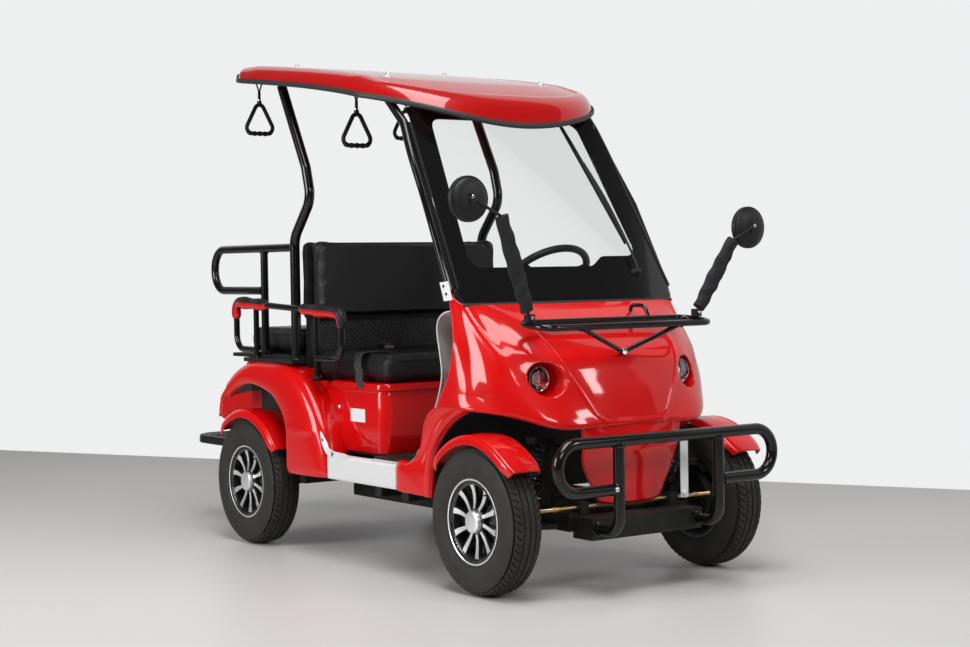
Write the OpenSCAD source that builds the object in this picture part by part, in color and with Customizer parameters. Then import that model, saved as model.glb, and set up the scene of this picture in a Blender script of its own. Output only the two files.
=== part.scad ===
// Four-seat electric golf cart. Front is -Y, the driver's side is +X and the ground is z = 0.

/* [Wheels] */
// Distance between the front and rear axles
wheelbase = 1535; // [1400:5:1900]
// Distance between the middles of the two tyres of an axle
track_w = 954; // [940:2:1150]
// Outside diameter of a tyre
tyre_od = 486; // [440:2:500]
// Width of a tyre at its widest
tyre_w = 125; // [100:1:135]
// Diameter of the rim where the tyre seats
rim_d = 256; // [220:2:280]
// Diameter of the stub axle that a wheel turns on
stub_d = 24; // [16:1:36]
// Number of spokes in a rim
spokes = 10; // [5:1:12]

/* [Body] */
// Width of the body over its arches
body_w = 1040; // [1020:5:1250]
// Thickness of a body panel
panel_t = 8; // [4:1:12]
// Height of the cabin floor's top face
floor_h = 400; // [395:1:420]
// Height of a sill from its lower to its upper edge
sill_h = 90; // [60:1:110]
// Width of the seat box
seat_box_w = 840; // [760:5:860]
// Diameter of a headlamp
lamp_d = 126; // [90:1:140]

/* [Seats] */
// Thickness of the front seat cushion
cushion_t = 105; // [60:1:140]
// Thickness of the rear seat cushion
rear_cushion_t = 100; // [60:1:130]
// Width of the seat cushions
cushion_w = 812; // [700:2:820]
// Height of a backrest pad
backrest_h = 320; // [250:5:400]
// Thickness of the front backrest pad
backrest_t = 84; // [50:1:86]

/* [Tubes] */
// Diameter of the windscreen pillars and roof rails
pillar_d = 32; // [24:1:40]
// Diameter of the rear pillars
rear_pillar_d = 38; // [28:1:42]
// Diameter of the bumper tube
bumper_d = 38; // [28:1:46]
// Diameter of the side rails beside the rear seat
rail_d = 32; // [22:1:36]
// Diameter of the armrest tube
arm_d = 24; // [16:1:30]
// Diameter of the front rack tube
rack_d = 22; // [14:1:28]

/* [Roof and screen] */
// Length of the windscreen along its slope
screen_l = 790; // [700:5:800]
// Thickness of the windscreen
screen_t = 5; // [4:0.5:8]
// Thickness of the roof shell
roof_t = 10; // [6:1:14]
// Width of the roof
roof_w = 1040; // [980:5:1200]

/* [Steering] */
// Outside diameter of the steering wheel
steer_d = 368; // [300:2:400]
// Length of the steering arm on a knuckle
arm_l = 140; // [100:1:150]
// Diameter of a mirror head
mirror_d = 148; // [90:2:180]
// Width of the rear footrest
footrest_w = 700; // [400:5:720]

/* [Hidden] */
gap = 0.3;
steel = [0.05, 0.05, 0.055];
red = [0.8, 0.02, 0.02];
vinyl = [0.07, 0.07, 0.08];

// Lines across the cart: yf is the front axle and yr the rear one
axle_shift = 232.5;
yf = -wheelbase / 2 - axle_shift;
yr = wheelbase / 2 - axle_shift;
tyre_r = tyre_od / 2;
tyre_x = track_w / 2;
half_w = body_w / 2;
rim_r = rim_d / 2;
stub_r = stub_d / 2;

// Chassis rails and what stands on them
frame_x = 230;
frame_w = 40;
frame_z = 200;
frame_top = 260;
rear_frame_z = 320;
rear_frame_top = 380;
floor_t = 12;
floor_z = floor_h - floor_t;
floor_half = half_w - 50;
mat_half = 400;
mat_t = 3;
cross_y = yf - 250;
cross_d = 100;
cross_half = 235;
rail_end_y = yr + 480;
kick_y = yr - 385;

// Steering geometry
king_x = 385;
king_r = 14;
king_low = 170;
king_high = 330;
tie_z = 276;
tie_r = 7;
wheel_tilt = 40;
steer_at = [235, yf + 600, 1020];
steer_tube_r = 14;

// Seats: heights follow the seat box and the base frame
seat_box_y = yr - 830;
seat_box_back = yr - 295;
seat_box_top = 651;
cushion_z = seat_box_top + gap;
base_z = 708.3;
base_top = base_z + 29;
board_t = 14;
board_y = seat_box_back - board_t;
back_z = 865;

// Outer skin lines of the front body: each row runs from the middle of the cart to the door edge
cowl_rows = [
    [[0, 141, 935], [270, 141, 936], [380, 141, 937], [430, 143, 938], [453, 155, 945], [470, 195, 975]],
    [[0, 15, 862], [262, 25, 865], [372, 55, 868], [430, 90, 866], [465, 120, 865], [487, 152, 862]],
    [[0, -114, 772], [245, -88, 778], [365, -30, 785], [432, 35, 790], [474, 92, 785], [494, 143, 790]],
    [[0, -155, 680], [205, -140, 690], [350, -75, 695], [437, -12, 695], [487, 75, 690], [500, 165, 700]],
    [[0, -181, 563], [133, -180, 566], [298, -158, 570], [414, -56, 602], [495, 78, 622], [502, 205, 640]],
    [[0, -184, 540], [125, -183, 541], [290, -165, 541], [410, -58, 582], [496, 78, 600.6], [503, 228, 600]]];
cowl_sub = 3;
hood_first = 3;
hood_last = 11;
lamp_x = 300;
lamp_z = 697;

// Side outline of the body below the cowl, from the arch to the door opening
leg_x = 472;
leg_t = 31;
leg_outline = [[88, 599.5], [169, 555], [230, 508], [262, 470], [282, 420], [287, 300], [496, 300],
    [496, floor_h - 10], [411, floor_h - 6], [382, 405], [332, 465], [314, 548], [272, 585], [228, 599.5]];

// Side outline of a rear arch: its upper edge, then the wheel opening
arch_top = [[-579, 302], [-555, 395], [-525, 476], [-456, 583], [-375, 656], [-272, 698], [-120, 706],
    [5, 704], [100, 675], [176, 627]];
arch_low = [[165, 568], [90, 608], [5, 628], [-115, 618], [-200, 585], [-262, 530], [-292, 470], [-295, 302]];
tub_half = 395;

// Mudguard skirts, and the stays that reach out to them from inboard
guard_in = tyre_r + 12;
stay_z0 = tyre_r + guard_in + 1.5;
stay_z1 = tyre_r + guard_in + 9;
guard_edge = tyre_x - tyre_w / 2 - 4;

function front(p) = [p[0], p[1] + yf, p[2]];
function unit(v) = v / norm(v);
function mirrored(p) = [-p[0], p[1], p[2]];

// A smooth line through the points, k steps a span
function spline(a, b, c, d, t) =
    0.5 * (2 * b + (c - a) * t + (2 * a - 5 * b + 4 * c - d) * t * t + (3 * b - a - 3 * c + d) * t * t * t);
function smooth(line, k) =
    let (n = len(line) - 1)
    [for (i = [0:n - 1]) for (s = [0:k - 1])
        spline(line[max(i - 1, 0)], line[i], line[i + 1], line[min(i + 2, n)], s / k), line[n]];
function turned(net) = [for (j = [0:len(net[0]) - 1]) [for (row = net) row[j]]];
function fine(net, k) = turned([for (col = turned([for (row = net) smooth(row, k)])) smooth(col, k)]);

// The same row with its mirror image on the other side of the cart
function both_sides(row) =
    concat([for (i = [len(row) - 1:-1:1]) mirrored(row[i])], row);

function at(g, i, j) = g[min(max(i, 0), len(g) - 1)][min(max(j, 0), len(g[0]) - 1)];
function facing(g, i, j) = unit(cross(at(g, i + 1, j) - at(g, i - 1, j), at(g, i, j + 1) - at(g, i, j - 1)));

// A panel of thickness t whose outer face is the grid g; keep says which cells it covers
module skin(g, t, keep) {
    rows = len(g);
    cols = len(g[0]);
    outer = [for (i = [0:rows - 1]) for (j = [0:cols - 1]) g[i][j]];
    inner = [for (i = [0:rows - 1]) for (j = [0:cols - 1]) g[i][j] - t * facing(g, i, j)];
    m = rows * cols;
    cells = [for (i = [0:rows - 2]) for (j = [0:cols - 2]) if (keep(i, j)) [i, j]];
    in_net = function(i, j) i >= 0 && j >= 0 && i < rows - 1 && j < cols - 1 && keep(i, j);
    faces = [for (c = cells) let (i = c[0], j = c[1], a = i * cols + j, b = a + 1, d = a + cols, e = d + 1)
        each concat(
            [[a, b, d], [b, e, d], [m + a, m + d, m + b], [m + b, m + d, m + e]],
            in_net(i - 1, j) ? [] : [[a, m + a, b], [b, m + a, m + b]],
            in_net(i + 1, j) ? [] : [[d, e, m + d], [e, m + e, m + d]],
            in_net(i, j - 1) ? [] : [[a, d, m + a], [d, m + d, m + a]],
            in_net(i, j + 1) ? [] : [[b, m + b, e], [e, m + b, m + e]])];
    polyhedron(concat(outer, inner), faces);
}

// The corner points of a bent tube: each inner corner becomes an arc of radius r
function bend(p, r, k) =
    let (n = len(p) - 1)
    concat([p[0]],
        [for (i = [1:n - 1])
            let (u = unit(p[i - 1] - p[i]), v = unit(p[i + 1] - p[i]), half = acos(u * v) / 2,
                d = min(r / tan(half), norm(p[i - 1] - p[i]) * 0.49, norm(p[i + 1] - p[i]) * 0.49))
            each [for (s = [0:k]) let (t = s / k)
                (1 - t) * (1 - t) * (p[i] + u * d) + 2 * t * (1 - t) * p[i] + t * t * (p[i] + v * d)]],
        [p[n]]);

// A round tube along the points; side is a direction that is square to most of the path
module tube(p, r, side, closed = false, n = 10) {
    m = len(p);
    ahead = function(i) closed ? p[(i + 1) % m] : p[min(i + 1, m - 1)];
    behind = function(i) closed ? p[(i + m - 1) % m] : p[max(i - 1, 0)];
    rings = [for (i = [0:m - 1])
        let (t = unit(ahead(i) - behind(i)), u = unit(cross(side, t)), v = cross(t, u))
        for (k = [0:n - 1]) p[i] + r * (cos(360 * k / n) * u + sin(360 * k / n) * v)];
    last = closed ? m - 1 : m - 2;
    walls = [for (i = [0:last]) for (k = [0:n - 1])
        let (a = i * n + k, b = i * n + (k + 1) % n, c = ((i + 1) % m) * n + k,
            d = ((i + 1) % m) * n + (k + 1) % n)
        each [[a, c, b], [b, c, d]]];
    caps = closed ? [] : [[for (k = [0:n - 1]) k], [for (k = [n - 1:-1:0]) (m - 1) * n + k]];
    polyhedron(rings, concat(walls, caps));
}

// A band of thickness t under a line of [y, z] points
function band(p, t) =
    let (n = len(p) - 1)
    concat(p, [for (i = [n:-1:0])
        let (d = unit(p[min(i + 1, n)] - p[max(i - 1, 0)])) p[i] + t * [d[1], -d[0]]]);

// An outline of [y, z] points as a plate from x0 to x1
module plate(outline, x0, x1) {
    translate([x0, 0, 0]) rotate([90, 0, 90]) linear_extrude(x1 - x0) polygon(outline);
}
module block(low, high) {
    translate(low) cube(high - low);
}
module both() {
    children();
    mirror([1, 0, 0]) children();
}
// A cylinder along X from x0 to x1
module bar_x(x0, x1, y, z, r) {
    translate([x0, y, z]) rotate([0, 90, 0]) cylinder(h = x1 - x0, r = r, $fn = 32);
}
// A cylinder that joins the points a and b
module strut(a, b, r) {
    d = b - a;
    translate(a) rotate([0, acos(d[2] / norm(d)), atan2(d[1], d[0])]) cylinder(h = norm(d), r = r, $fn = 24);
}
function shift(outline, y) = [for (p = outline) [p[0] + y, p[1]]];

// Roof: height of its outer face at a place; v runs from the front edge to the rear edge
roof_half = roof_w / 2;
roof_front = yf + 390;
roof_back = yr + 250;
roof_corner = 200;
function nose_line(x) = roof_front + 290 * pow(abs(x) / roof_half, 3.7);
function back_line(x) =
    let (c = max(0, abs(x) - roof_half + roof_corner))
    roof_back - roof_corner + sqrt(roof_corner * roof_corner - c * c);
function edge_z(y) = 1559 + 289 * pow((y - roof_front) / 1600, 0.535);
function roof_point(u, v) =
    let (x = roof_half * u, y0 = nose_line(x), y = y0 + (back_line(x) - y0) * v,
        crown = (84 - 42 * v) * pow(1 - pow(abs(u), 4), 0.5) * min(1, 0.12 + 6 * v, 0.2 + 8 * (1 - v)))
    [x, y, edge_z(y) + crown];
roof_u = [-1, -0.985, -0.94, -0.85, -0.65, -0.35, 0, 0.35, 0.65, 0.85, 0.94, 0.985, 1];
roof_v = [1, 0.985, 0.95, 0.9, 0.82, 0.74, 0.66, 0.58, 0.5, 0.42, 0.34, 0.26, 0.18, 0.12, 0.07, 0.03, 0.01, 0];

// Roof rails and pillars
rail_x = 432;
rail_end = yr + 185;
stud_x = 360;
stud_r = 10;
screen_rake = 59.6;
screen_dir = [0, cos(screen_rake), sin(screen_rake)];
screen_out = [0, -sin(screen_rake), cos(screen_rake)];
screen_foot = [0, yf + 144, 943];
screen_low = 453;
screen_high = 402;
pillar_r = pillar_d / 2;
pillar_off = pillar_r + gap;
function behind_screen(x, s) = [x, 0, 0] + screen_foot + s * screen_dir - pillar_off * screen_out;
function rail_z(y) = edge_z(y) - pillar_r - 4;

// Rear side rails and armrests
rail_top = 1150;
rail_low = 985;
rail_back = yr + 425;
rail_r = rail_d / 2;
rear_pillar_r = rear_pillar_d / 2;
rear_pillar_x = 436;
rear_pillar_y = yr - 250;
arm_x = 470;
arm_r = arm_d / 2;

module chassis_frame() {
    color(steel) {
        both() {
            block([frame_x - frame_w / 2, cross_y + cross_d, frame_z], [frame_x + frame_w / 2, kick_y, frame_top]);
            block([frame_x - frame_w / 2, kick_y, frame_z], [frame_x + frame_w / 2, kick_y + frame_w, rear_frame_top]);
            block([frame_x - frame_w / 2, kick_y + frame_w, rear_frame_z],
                [frame_x + frame_w / 2, rail_end_y, rear_frame_top]);
            // Tower that carries the top of a front spring
            block([frame_x - 20, yf - 25, frame_top], [frame_x, yf + 25, 500]);
            block([frame_x, yf - 25, 480], [frame_x + 60, yf + 25, 500]);
        }
        block([-cross_half, cross_y, 180], [cross_half, cross_y + cross_d, 250]);
        for (y = [yf - 60, yf + 250, yf + 860, kick_y])
            block([-frame_x + frame_w / 2, y, frame_z + 10], [frame_x - frame_w / 2, y + 40, frame_top - 10]);
        block([-frame_x + frame_w / 2, rail_end_y - 40, rear_frame_z + 10],
            [frame_x - frame_w / 2, rail_end_y, rear_frame_top - 10]);
        // Bushings that the tie rod slides in
        both() difference() {
            block([frame_x - frame_w / 2 - 35, yf - arm_l - 20, frame_z + 15],
                [frame_x - frame_w / 2, yf - arm_l + 20, tie_z + 18]);
            bar_x(0, frame_x, yf - arm_l, tie_z, tie_r + gap);
        }
        // Outriggers under the floor
        for (y = [yf + 470, seat_box_y - 60, seat_box_back - 60])
            block([-floor_half + 2, y, frame_top], [floor_half - 2, y + 40, floor_z]);
    }
}

module floor_pan() {
    color(steel) {
        block([-floor_half, yf + 440, floor_z], [floor_half, seat_box_y - 20, floor_h]);
        block([-tub_half, seat_box_y - 20, floor_z], [tub_half, seat_box_back, floor_h]);
        // Rubber mat between the dash and the seat box
        block([-mat_half, yf + 482, floor_h], [mat_half, seat_box_y - 24, floor_h + mat_t]);
    }
}

module battery_pack() {
    color([0.15, 0.15, 0.16])
        block([-330, seat_box_y + 60, floor_h], [330, seat_box_back - 60, floor_h + 190]);
}

// Coil spring over damper from a to b
module spring_strut(a, b) {
    d = unit(b - a);
    strut(a, a + 30 * d, 9);
    strut(a + 30 * d, b - 30 * d, 26);
    strut(b - 30 * d, b, 9);
}

module front_suspension() {
    color(steel) both() {
        // Lower wishbone under the kingpin
        difference() {
            plate_xy([[frame_x + frame_w / 2, -90], [king_x - 20, -22], [king_x + 12, -20], [king_x + 12, 20],
                [king_x - 20, 22], [frame_x + frame_w / 2, 90]], 202, 218);
            plate_xy([[frame_x + frame_w / 2 + 20, -55], [king_x - 60, -15], [king_x - 60, 15],
                [frame_x + frame_w / 2 + 20, 55]], 190, 230);
            block([king_x - 22, yf - 30, 150], [king_x + 40, yf + 30, 260]);
        }
        block([king_x - 40, yf - 24, king_low - 22], [king_x - 22, yf + 24, 218]);
        block([king_x - 22, yf - 24, king_low - 22], [king_x + 14, yf + 24, king_low - gap]);
        spring_strut([king_x - 58, yf, 218 + 2 + gap], [frame_x + 40, yf, 480 - 2 - gap]);
    }
}
// An outline of [x, y from the front axle] points from z0 to z1
module plate_xy(outline, z0, z1) {
    translate([0, yf, z0]) linear_extrude(z1 - z0) polygon(outline);
}

module rear_axle() {
    axle_end = tyre_x - tyre_w / 2 - 30;
    color(steel) {
        bar_x(-axle_end, axle_end, yr, tyre_r, 28);
        both() bar_x(axle_end, tyre_x + 30, yr, tyre_r, stub_r);
        // Gearbox and drive motor
        translate([40, yr, tyre_r]) rotate([0, 90, 0]) cylinder(h = 90, r = 70, $fn = 48);
        translate([0, yr - 60, tyre_r + 30]) rotate([90, 0, 0]) cylinder(h = 190, r = 62, $fn = 48);
        block([-62, yr - 90, tyre_r - 30], [110, yr, tyre_r + 40]);
        both() spring_strut([frame_x + 60, yr + 10, tyre_r + 15], [frame_x + 60, yr + 70, 470]);
        both() block([frame_x + frame_w / 2, yr + 50, 335], [frame_x + 60, yr + 90, 365]);
    }
}

function cowl_net() = [for (row = cowl_rows) both_sides([for (p = row) front(p)])];
function in_hood(i, j) = i >= hood_first && i <= hood_last && j >= 4 * cowl_sub && j < 6 * cowl_sub;

module lamp_holes() {
    both() translate([lamp_x, yf + 40, lamp_z]) rotate([90, 0, 0]) cylinder(h = 200, d = lamp_d + 1, $fn = 48);
}

module front_cowl() {
    color(red) difference() {
        skin(fine(cowl_net(), cowl_sub), panel_t, function(i, j) !in_hood(i, j));
        lamp_holes();
    }
}

module hood_panel() {
    color(red) difference() {
        skin(fine(cowl_net(), cowl_sub), panel_t, function(i, j) in_hood(i, j));
        lamp_holes();
    }
}

module nose_apron() {
    rows = [
        [[-208, -172, 541], [-130, -181, 540.2], [0, -184, 539.5], [130, -181, 540.2], [208, -172, 541]],
        [[-200, -168, 470], [-130, -184, 470], [0, -192, 470], [130, -184, 470], [200, -168, 470]],
        [[-185, -160, 400], [-120, -174, 400], [0, -182, 400], [120, -174, 400], [185, -160, 400]],
        [[-127, -160, 290], [-90, -168, 282], [0, -172, 280], [90, -168, 282], [127, -160, 290]]];
    color(red) skin(fine([for (row = rows) [for (p = row) front(p)]], 3), panel_t, function(i, j) true);
}

module headlamps() {
    color("silver") both() translate([lamp_x, yf - 15, lamp_z]) rotate([90, 0, 0])
        cylinder(h = 65, d = lamp_d, $fn = 48);
}

module cowl_legs() {
    color(red) both() plate(shift(leg_outline, yf), half_w - 520 + leg_x, half_w - 520 + leg_x + leg_t);
}

module dash_panel() {
    line = [[160, 926], [270, 918], [332, 850], [306, 700], [332, 620], [452, 412], [470, floor_h + gap]];
    color([0.5, 0.5, 0.5]) plate(shift(band(line, -panel_t), yf), -floor_half + 26, floor_half - 26);
}

module sills() {
    z0 = floor_z + floor_t - 10 - sill_h;
    y1 = yr - 579;
    color("silver") both() {
        block([floor_half, yf + 496, z0], [floor_half + 33, y1, z0 + sill_h]);
        // Upswept trim along the rear arch
        plate(concat([[y1, z0 + sill_h], [y1 - 60, z0 + sill_h]],
            shift([[-600, 402], [-556, 440], [-541, 480], [-529, 474]], yr),
            shift([[-555, 395], [-570, 340]], yr)), floor_half + 24, floor_half + 33);
    }
}

module seat_box() {
    half = seat_box_w / 2;
    color(red) difference() {
        block([-half, seat_box_y, floor_h], [half, seat_box_back, seat_box_top]);
        block([-half + panel_t, seat_box_y + panel_t, floor_h - 1],
            [half - panel_t, seat_box_back - panel_t, seat_box_top - panel_t]);
    }
}

module rear_body() {
    line = [[-295, 708], [255, 708], [350, 640], [440, 540], [455, 470]];
    side = concat(shift(line, yr), shift([[430, 455], [330, 470], [255, floor_h], [-295, floor_h]], yr));
    color(red) {
        plate(band(shift(line, yr), panel_t), -tub_half, tub_half);
        both() plate(side, tub_half - panel_t, tub_half);
    }
}

module rear_arches() {
    outline = shift(concat(arch_top, arch_low), yr);
    color(red) both() {
        plate(outline, half_w - 12, half_w);
        difference() {
            plate(shift(band(arch_top, panel_t), yr), tub_half + gap, half_w - 12);
            block([0, seat_box_y, 0], [seat_box_w / 2 + gap, seat_box_back + gap, base_z]);
        }
    }
}

// A mudguard over a tyre whose centre is at [x, y], from angle a0 to a1 off the rear horizon
module mudguard(x, y, a0, a1) {
    w = tyre_w + 8;
    r0 = guard_in + 14;
    translate([x, y, tyre_r]) rotate([90, 0, 90]) rotate([0, 0, a0]) rotate_extrude(angle = a1 - a0, $fn = 96)
        polygon([[r0 - 14, -w / 2], [r0 - 14, -w / 2 + 5], [r0, -w / 2 + 12], [r0, w / 2 - 12],
            [r0 - 14, w / 2 - 5], [r0 - 14, w / 2], [r0 - 4, w / 2], [r0 + 6, w / 2 - 10],
            [r0 + 6, -w / 2 + 10], [r0 - 4, -w / 2]]);
}

module rear_mudguards() {
    color(red) both() {
        mudguard(tyre_x, yr, 42, 150);
        block([tub_half, yr - 12, stay_z0], [guard_edge + 1.5, yr + 12, stay_z1]);
    }
}

module bull_bar() {
    r = bumper_d / 2;
    y = yf - 360;
    x = 475 - r;
    color(steel) {
        tube(bend([[-212, y, 356], [-x, y, 356], [-x, y, 510], [x, y, 510], [x, y, 356], [212, y, 356]], 76, 5),
            r, [0, 1, 0]);
        both() tube(bend([[212, y, 505], [212, y, 215], [212, cross_y - gap, 215]], 70, 4), r, [1, 0, 0]);
    }
}

module front_rack() {
    r = rack_d / 2;
    loop = [[-360, -180, 866], [360, -180, 866], [360, -30, 880], [-360, -30, 880]];
    corner = function(i) let (p = loop[i], a = loop[(i + 3) % 4], b = loop[(i + 1) % 4], u = unit(a - p),
        v = unit(b - p)) [for (s = [0:5]) let (t = s / 5)
            (1 - t) * (1 - t) * (p + 55 * u) + 2 * t * (1 - t) * p + t * t * (p + 55 * v)];
    color(steel) {
        tube([for (i = [0:3]) each [for (q = corner(i)) front(q)]], r, [0, 0, 1], closed = true);
        tube(bend([front([-214, -180, 864]), front([0, -132, 776]), front([214, -180, 864])], 20, 3), 8, [0, 1, 0]);
        strut(front([0, -132, 776]), front([0, -132, 776]) + 16.6 * [0, 0.914, -0.407], 7);
        tube(bend([front([200, -32, 882]), front([200, -10, 925]), front([200, 60, 925]),
            front([200, 66, 903])], 20, 3), 7, [1, 0, 0]);
    }
}

// Mirror on its arm; side is 1 on the driver's side and -1 on the other, and the arm bends at [x, z]
module mirror_arm(side, elbow, z) {
    foot = front([side * 360, -97, 896]);
    knee = front([side * elbow[0], -97, elbow[1]]);
    head = front([side * 604, -97, z]);
    color(steel) {
        translate(front([side * 360, -97, 885])) cylinder(h = 20, r = 11, $fn = 24);
        strut(foot, knee, 7);
        strut(foot + 22 * unit(knee - foot), knee, 14);
        strut(knee - 9 * unit(knee - foot), head, 6);
        translate(head) rotate([-90, 0, 0]) cylinder(h = 14, r = 10, $fn = 24);
        translate(head + [0, 12, 0]) rotate([-90, 0, 0]) cylinder(h = 20, d = mirror_d, $fn = 64);
    }
}

module windscreen() {
    color([0.3, 0.35, 0.4]) translate(screen_foot) rotate([screen_rake, 0, 0]) linear_extrude(screen_t)
        polygon([[-screen_low, 0], [screen_low, 0], [screen_high, screen_l], [-screen_high, screen_l]]);
}

module wiper() {
    foot = screen_foot + [334, 0, 0] + 105 * screen_dir + (screen_t + gap) * screen_out;
    mid = screen_foot + [272, 0, 0] + 560 * screen_dir + 16 * screen_out;
    low = screen_foot + [332, 0, 0] + 225 * screen_dir + 12 * screen_out;
    high = screen_foot + [242, 0, 0] + 728 * screen_dir + 12 * screen_out;
    color(steel) {
        strut(foot, foot + 14 * screen_out, 16);
        strut(foot + 10 * screen_out, mid, 5);
        strut(low, high, 6);
    }
}

module a_pillars() {
    top = behind_screen(rail_x - 10, 735);
    rail = [for (y = [yf + 640, yf + 900, yf + 1200, yr - 60, rail_end]) [rail_x, y, rail_z(y)]];
    color(steel) both() {
        // Flange that the edge of the windscreen rests on
        translate(screen_foot) rotate([screen_rake, 0, 0]) translate([0, 0, -gap - 3]) linear_extrude(3)
            polygon([[screen_low - 24, 60], [472, 60], [424, screen_l - 60], [screen_high - 20, screen_l - 60]]);
        tube(concat([behind_screen(470, 57), behind_screen(445, 400)],
        bend([behind_screen(436, 600), top, rail[0], rail[1]], 60, 4), [rail[2], rail[3], rail[4]]),
            pillar_r, [1, 0, 0], n = 12);
    }
}

module c_pillars() {
    x = rear_pillar_x;
    y = rear_pillar_y;
    top_y = yr - 172;
    color(steel) both() tube(bend([[x, y, base_top + gap], [x, y, 1185], [x, yr - 378, 1330],
        [x, yr - 345, 1450], [x, top_y, rail_z(top_y) - pillar_r - 0.62 * rear_pillar_r - gap]], 70, 4),
        rear_pillar_r, [1, 0, 0], n = 12);
}

// Height of the roof's inner face over a place
function under_roof(x, y) =
    roof_point(x / roof_half, (y - nose_line(x)) / (back_line(x) - nose_line(x)))[2] - roof_t * 1.03;

module roof_frame() {
    color(steel) for (y = [yf + 960, yr - 160, rail_end - 20]) {
        bar_x(-rail_x + pillar_r + gap, rail_x - pillar_r - gap, y, rail_z(y), 12);
        // Studs that the roof shell rests on
        both() translate([stud_x, y, rail_z(y)])
            cylinder(h = under_roof(stud_x, y) - rail_z(y) - 0.3 * stud_r - gap, r = stud_r, $fn = 24);
    }
}

module roof() {
    color(red) skin([for (v = roof_v) [for (u = roof_u) roof_point(u, v)]], roof_t, function(i, j) true);
}

module hanging_grips() {
    color(steel) for (p = [[-350, yf + 960], [-350, rail_end - 20], [350, rail_end - 20]]) {
        z = rail_z(p[1]) - 12 - gap;
        translate([p[0], p[1], z - 180]) rotate([90, 0, 0]) linear_extrude(14, center = true) difference() {
            polygon([[-66, 0], [66, 0], [66, 18], [12, 130], [-12, 130], [-66, 18]]);
            polygon([[-46, 18], [46, 18], [4, 104], [-4, 104]]);
        }
        block([p[0] - 12, p[1] - 2, z - 52], [p[0] + 12, p[1] + 2, z]);
    }
}

module seat_base() {
    color(steel) {
        block([-485, board_y + board_t + 1, base_z], [485, yr + 85, base_z + 15]);
        block([-458, board_y + board_t + 1, base_z + 15], [458, yr + 225, base_top]);
    }
}

module back_panel() {
    color(steel) block([-seat_box_w / 2 + 2, board_y, seat_box_top], [seat_box_w / 2 - 2, board_y + board_t, back_z + backrest_h - 30]);
}

// A pad with rounded corners: w across, and outline [y0, z0, y1, z1]
module pad(w, y0, z0, y1, z1, r) {
    hull() for (x = [-w / 2 + r, w / 2 - r]) for (z = [z0 + r, z1 - r])
        translate([x, y1, z]) rotate([90, 0, 0]) cylinder(h = y1 - y0, r = r, $fn = 32);
}

module front_cushion() {
    color(vinyl) pad(cushion_w, seat_box_y - 6, cushion_z, board_y - 2, cushion_z + cushion_t, 40);
}

module front_backrest() {
    color(vinyl) pad(856, board_y - gap - backrest_t, back_z, board_y - gap, back_z + backrest_h, 45);
}

module rear_cushion() {
    color(vinyl) pad(cushion_w, board_y + board_t + 90, base_top + gap, yr + 215, base_top + gap + rear_cushion_t, 40);
}

module rear_backrest() {
    color(vinyl) pad(2 * (rear_pillar_x - rear_pillar_r) - 6, board_y + board_t + gap, base_top + rear_cushion_t + 20,
        board_y + board_t + 80, back_z + backrest_h, 45);
}

module armrests() {
    x = arm_x;
    rear_post = yr + 3;
    mid_post = yr - 312;
    front_post = yr - 460;
    foot = seat_box_top + 12;
    color(steel) both() {
        tube(bend([[x, rear_post, 755], [x, yr + 165, 755], [x, yr + 165, 940], [x, yr - 640, 905],
            [x, yr - 640, 735], [x, front_post, 735]], 55, 4), arm_r, [1, 0, 0]);
        for (y = [rear_post, mid_post])
            translate([x, y, base_z + 15 + gap]) cylinder(h = 930 - base_z - 15, r = arm_r - 1, $fn = 24);
        translate([x, front_post, foot - 4]) cylinder(h = 912 - foot, r = arm_r - 1, $fn = 24);
        block([seat_box_w / 2 - 11, front_post - 15, seat_box_top + gap], [x + arm_r, front_post + 15, foot]);
    }
}

module rear_rails() {
    x = rear_pillar_x;
    y0 = rear_pillar_y + rear_pillar_r + gap;
    post_y = yr - 8;
    color(steel) both() {
        tube(bend([[x, y0, rail_top], [x, rail_back - rail_r, rail_top], [x, rail_back - rail_r, rail_low],
            [x, post_y, rail_low]], 78, 6), rail_r, [1, 0, 0]);
        translate([x, post_y, base_top + gap]) cylinder(h = rail_top - base_top - gap, r = rail_r - 1, $fn = 24);
    }
}

module footrest() {
    y0 = rail_end_y + gap;
    y1 = yr + 844;
    r = 120;
    half = footrest_w / 2;
    color(steel) {
        translate([0, 0, 330]) linear_extrude(35) hull() {
            translate([-half, y0]) square([footrest_w, 20]);
            for (s = [-1, 1]) translate([s * (half - r), y1 - r]) circle(r, $fn = 48);
        }
    }
}

module steering_column() {
    back = [0, sin(wheel_tilt), cos(wheel_tilt)];
    color(steel) strut(steer_at - 417.6 * back, steer_at - 45 * back, 20);
}

module steering_wheel() {
    ring_r = steer_d / 2 - steer_tube_r;
    color(steel) translate(steer_at) rotate([-wheel_tilt, 0, 0]) {
        rotate_extrude($fn = 96) translate([ring_r, 0]) circle(steer_tube_r, $fn = 24);
        translate([0, 0, -44.7]) cylinder(h = 52, r = 34, $fn = 48);
        for (a = [90, 210, 330]) rotate([0, 0, a]) translate([28, -12, -16]) cube([ring_r - 32, 24, 8]);
    }
}

module tie_rods() {
    color([0.75, 0.6, 0.3]) bar_x(-king_x + 14, king_x - 14, yf - arm_l, tie_z, tie_r);
}

module knuckle() {
    color("dimgray") {
        translate([king_x, yf, king_low]) cylinder(h = king_high - king_low, r = king_r, $fn = 32);
        bar_x(king_x, tyre_x + 30, yf, tyre_r, stub_r);
        // Steering arm, passing under the tie rod
        block([king_x - 9, yf - arm_l - 12, tie_z - tie_r - 17], [king_x + 9, yf, tie_z - tie_r - 5]);
        // Stay that carries the mudguard
        block([king_x - 10, yf - 12, king_high], [king_x + 10, yf + 12, stay_z0]);
    }
}
module knuckle_left() {
    knuckle();
}
module knuckle_right() {
    mirror([1, 0, 0]) knuckle();
}

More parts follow.
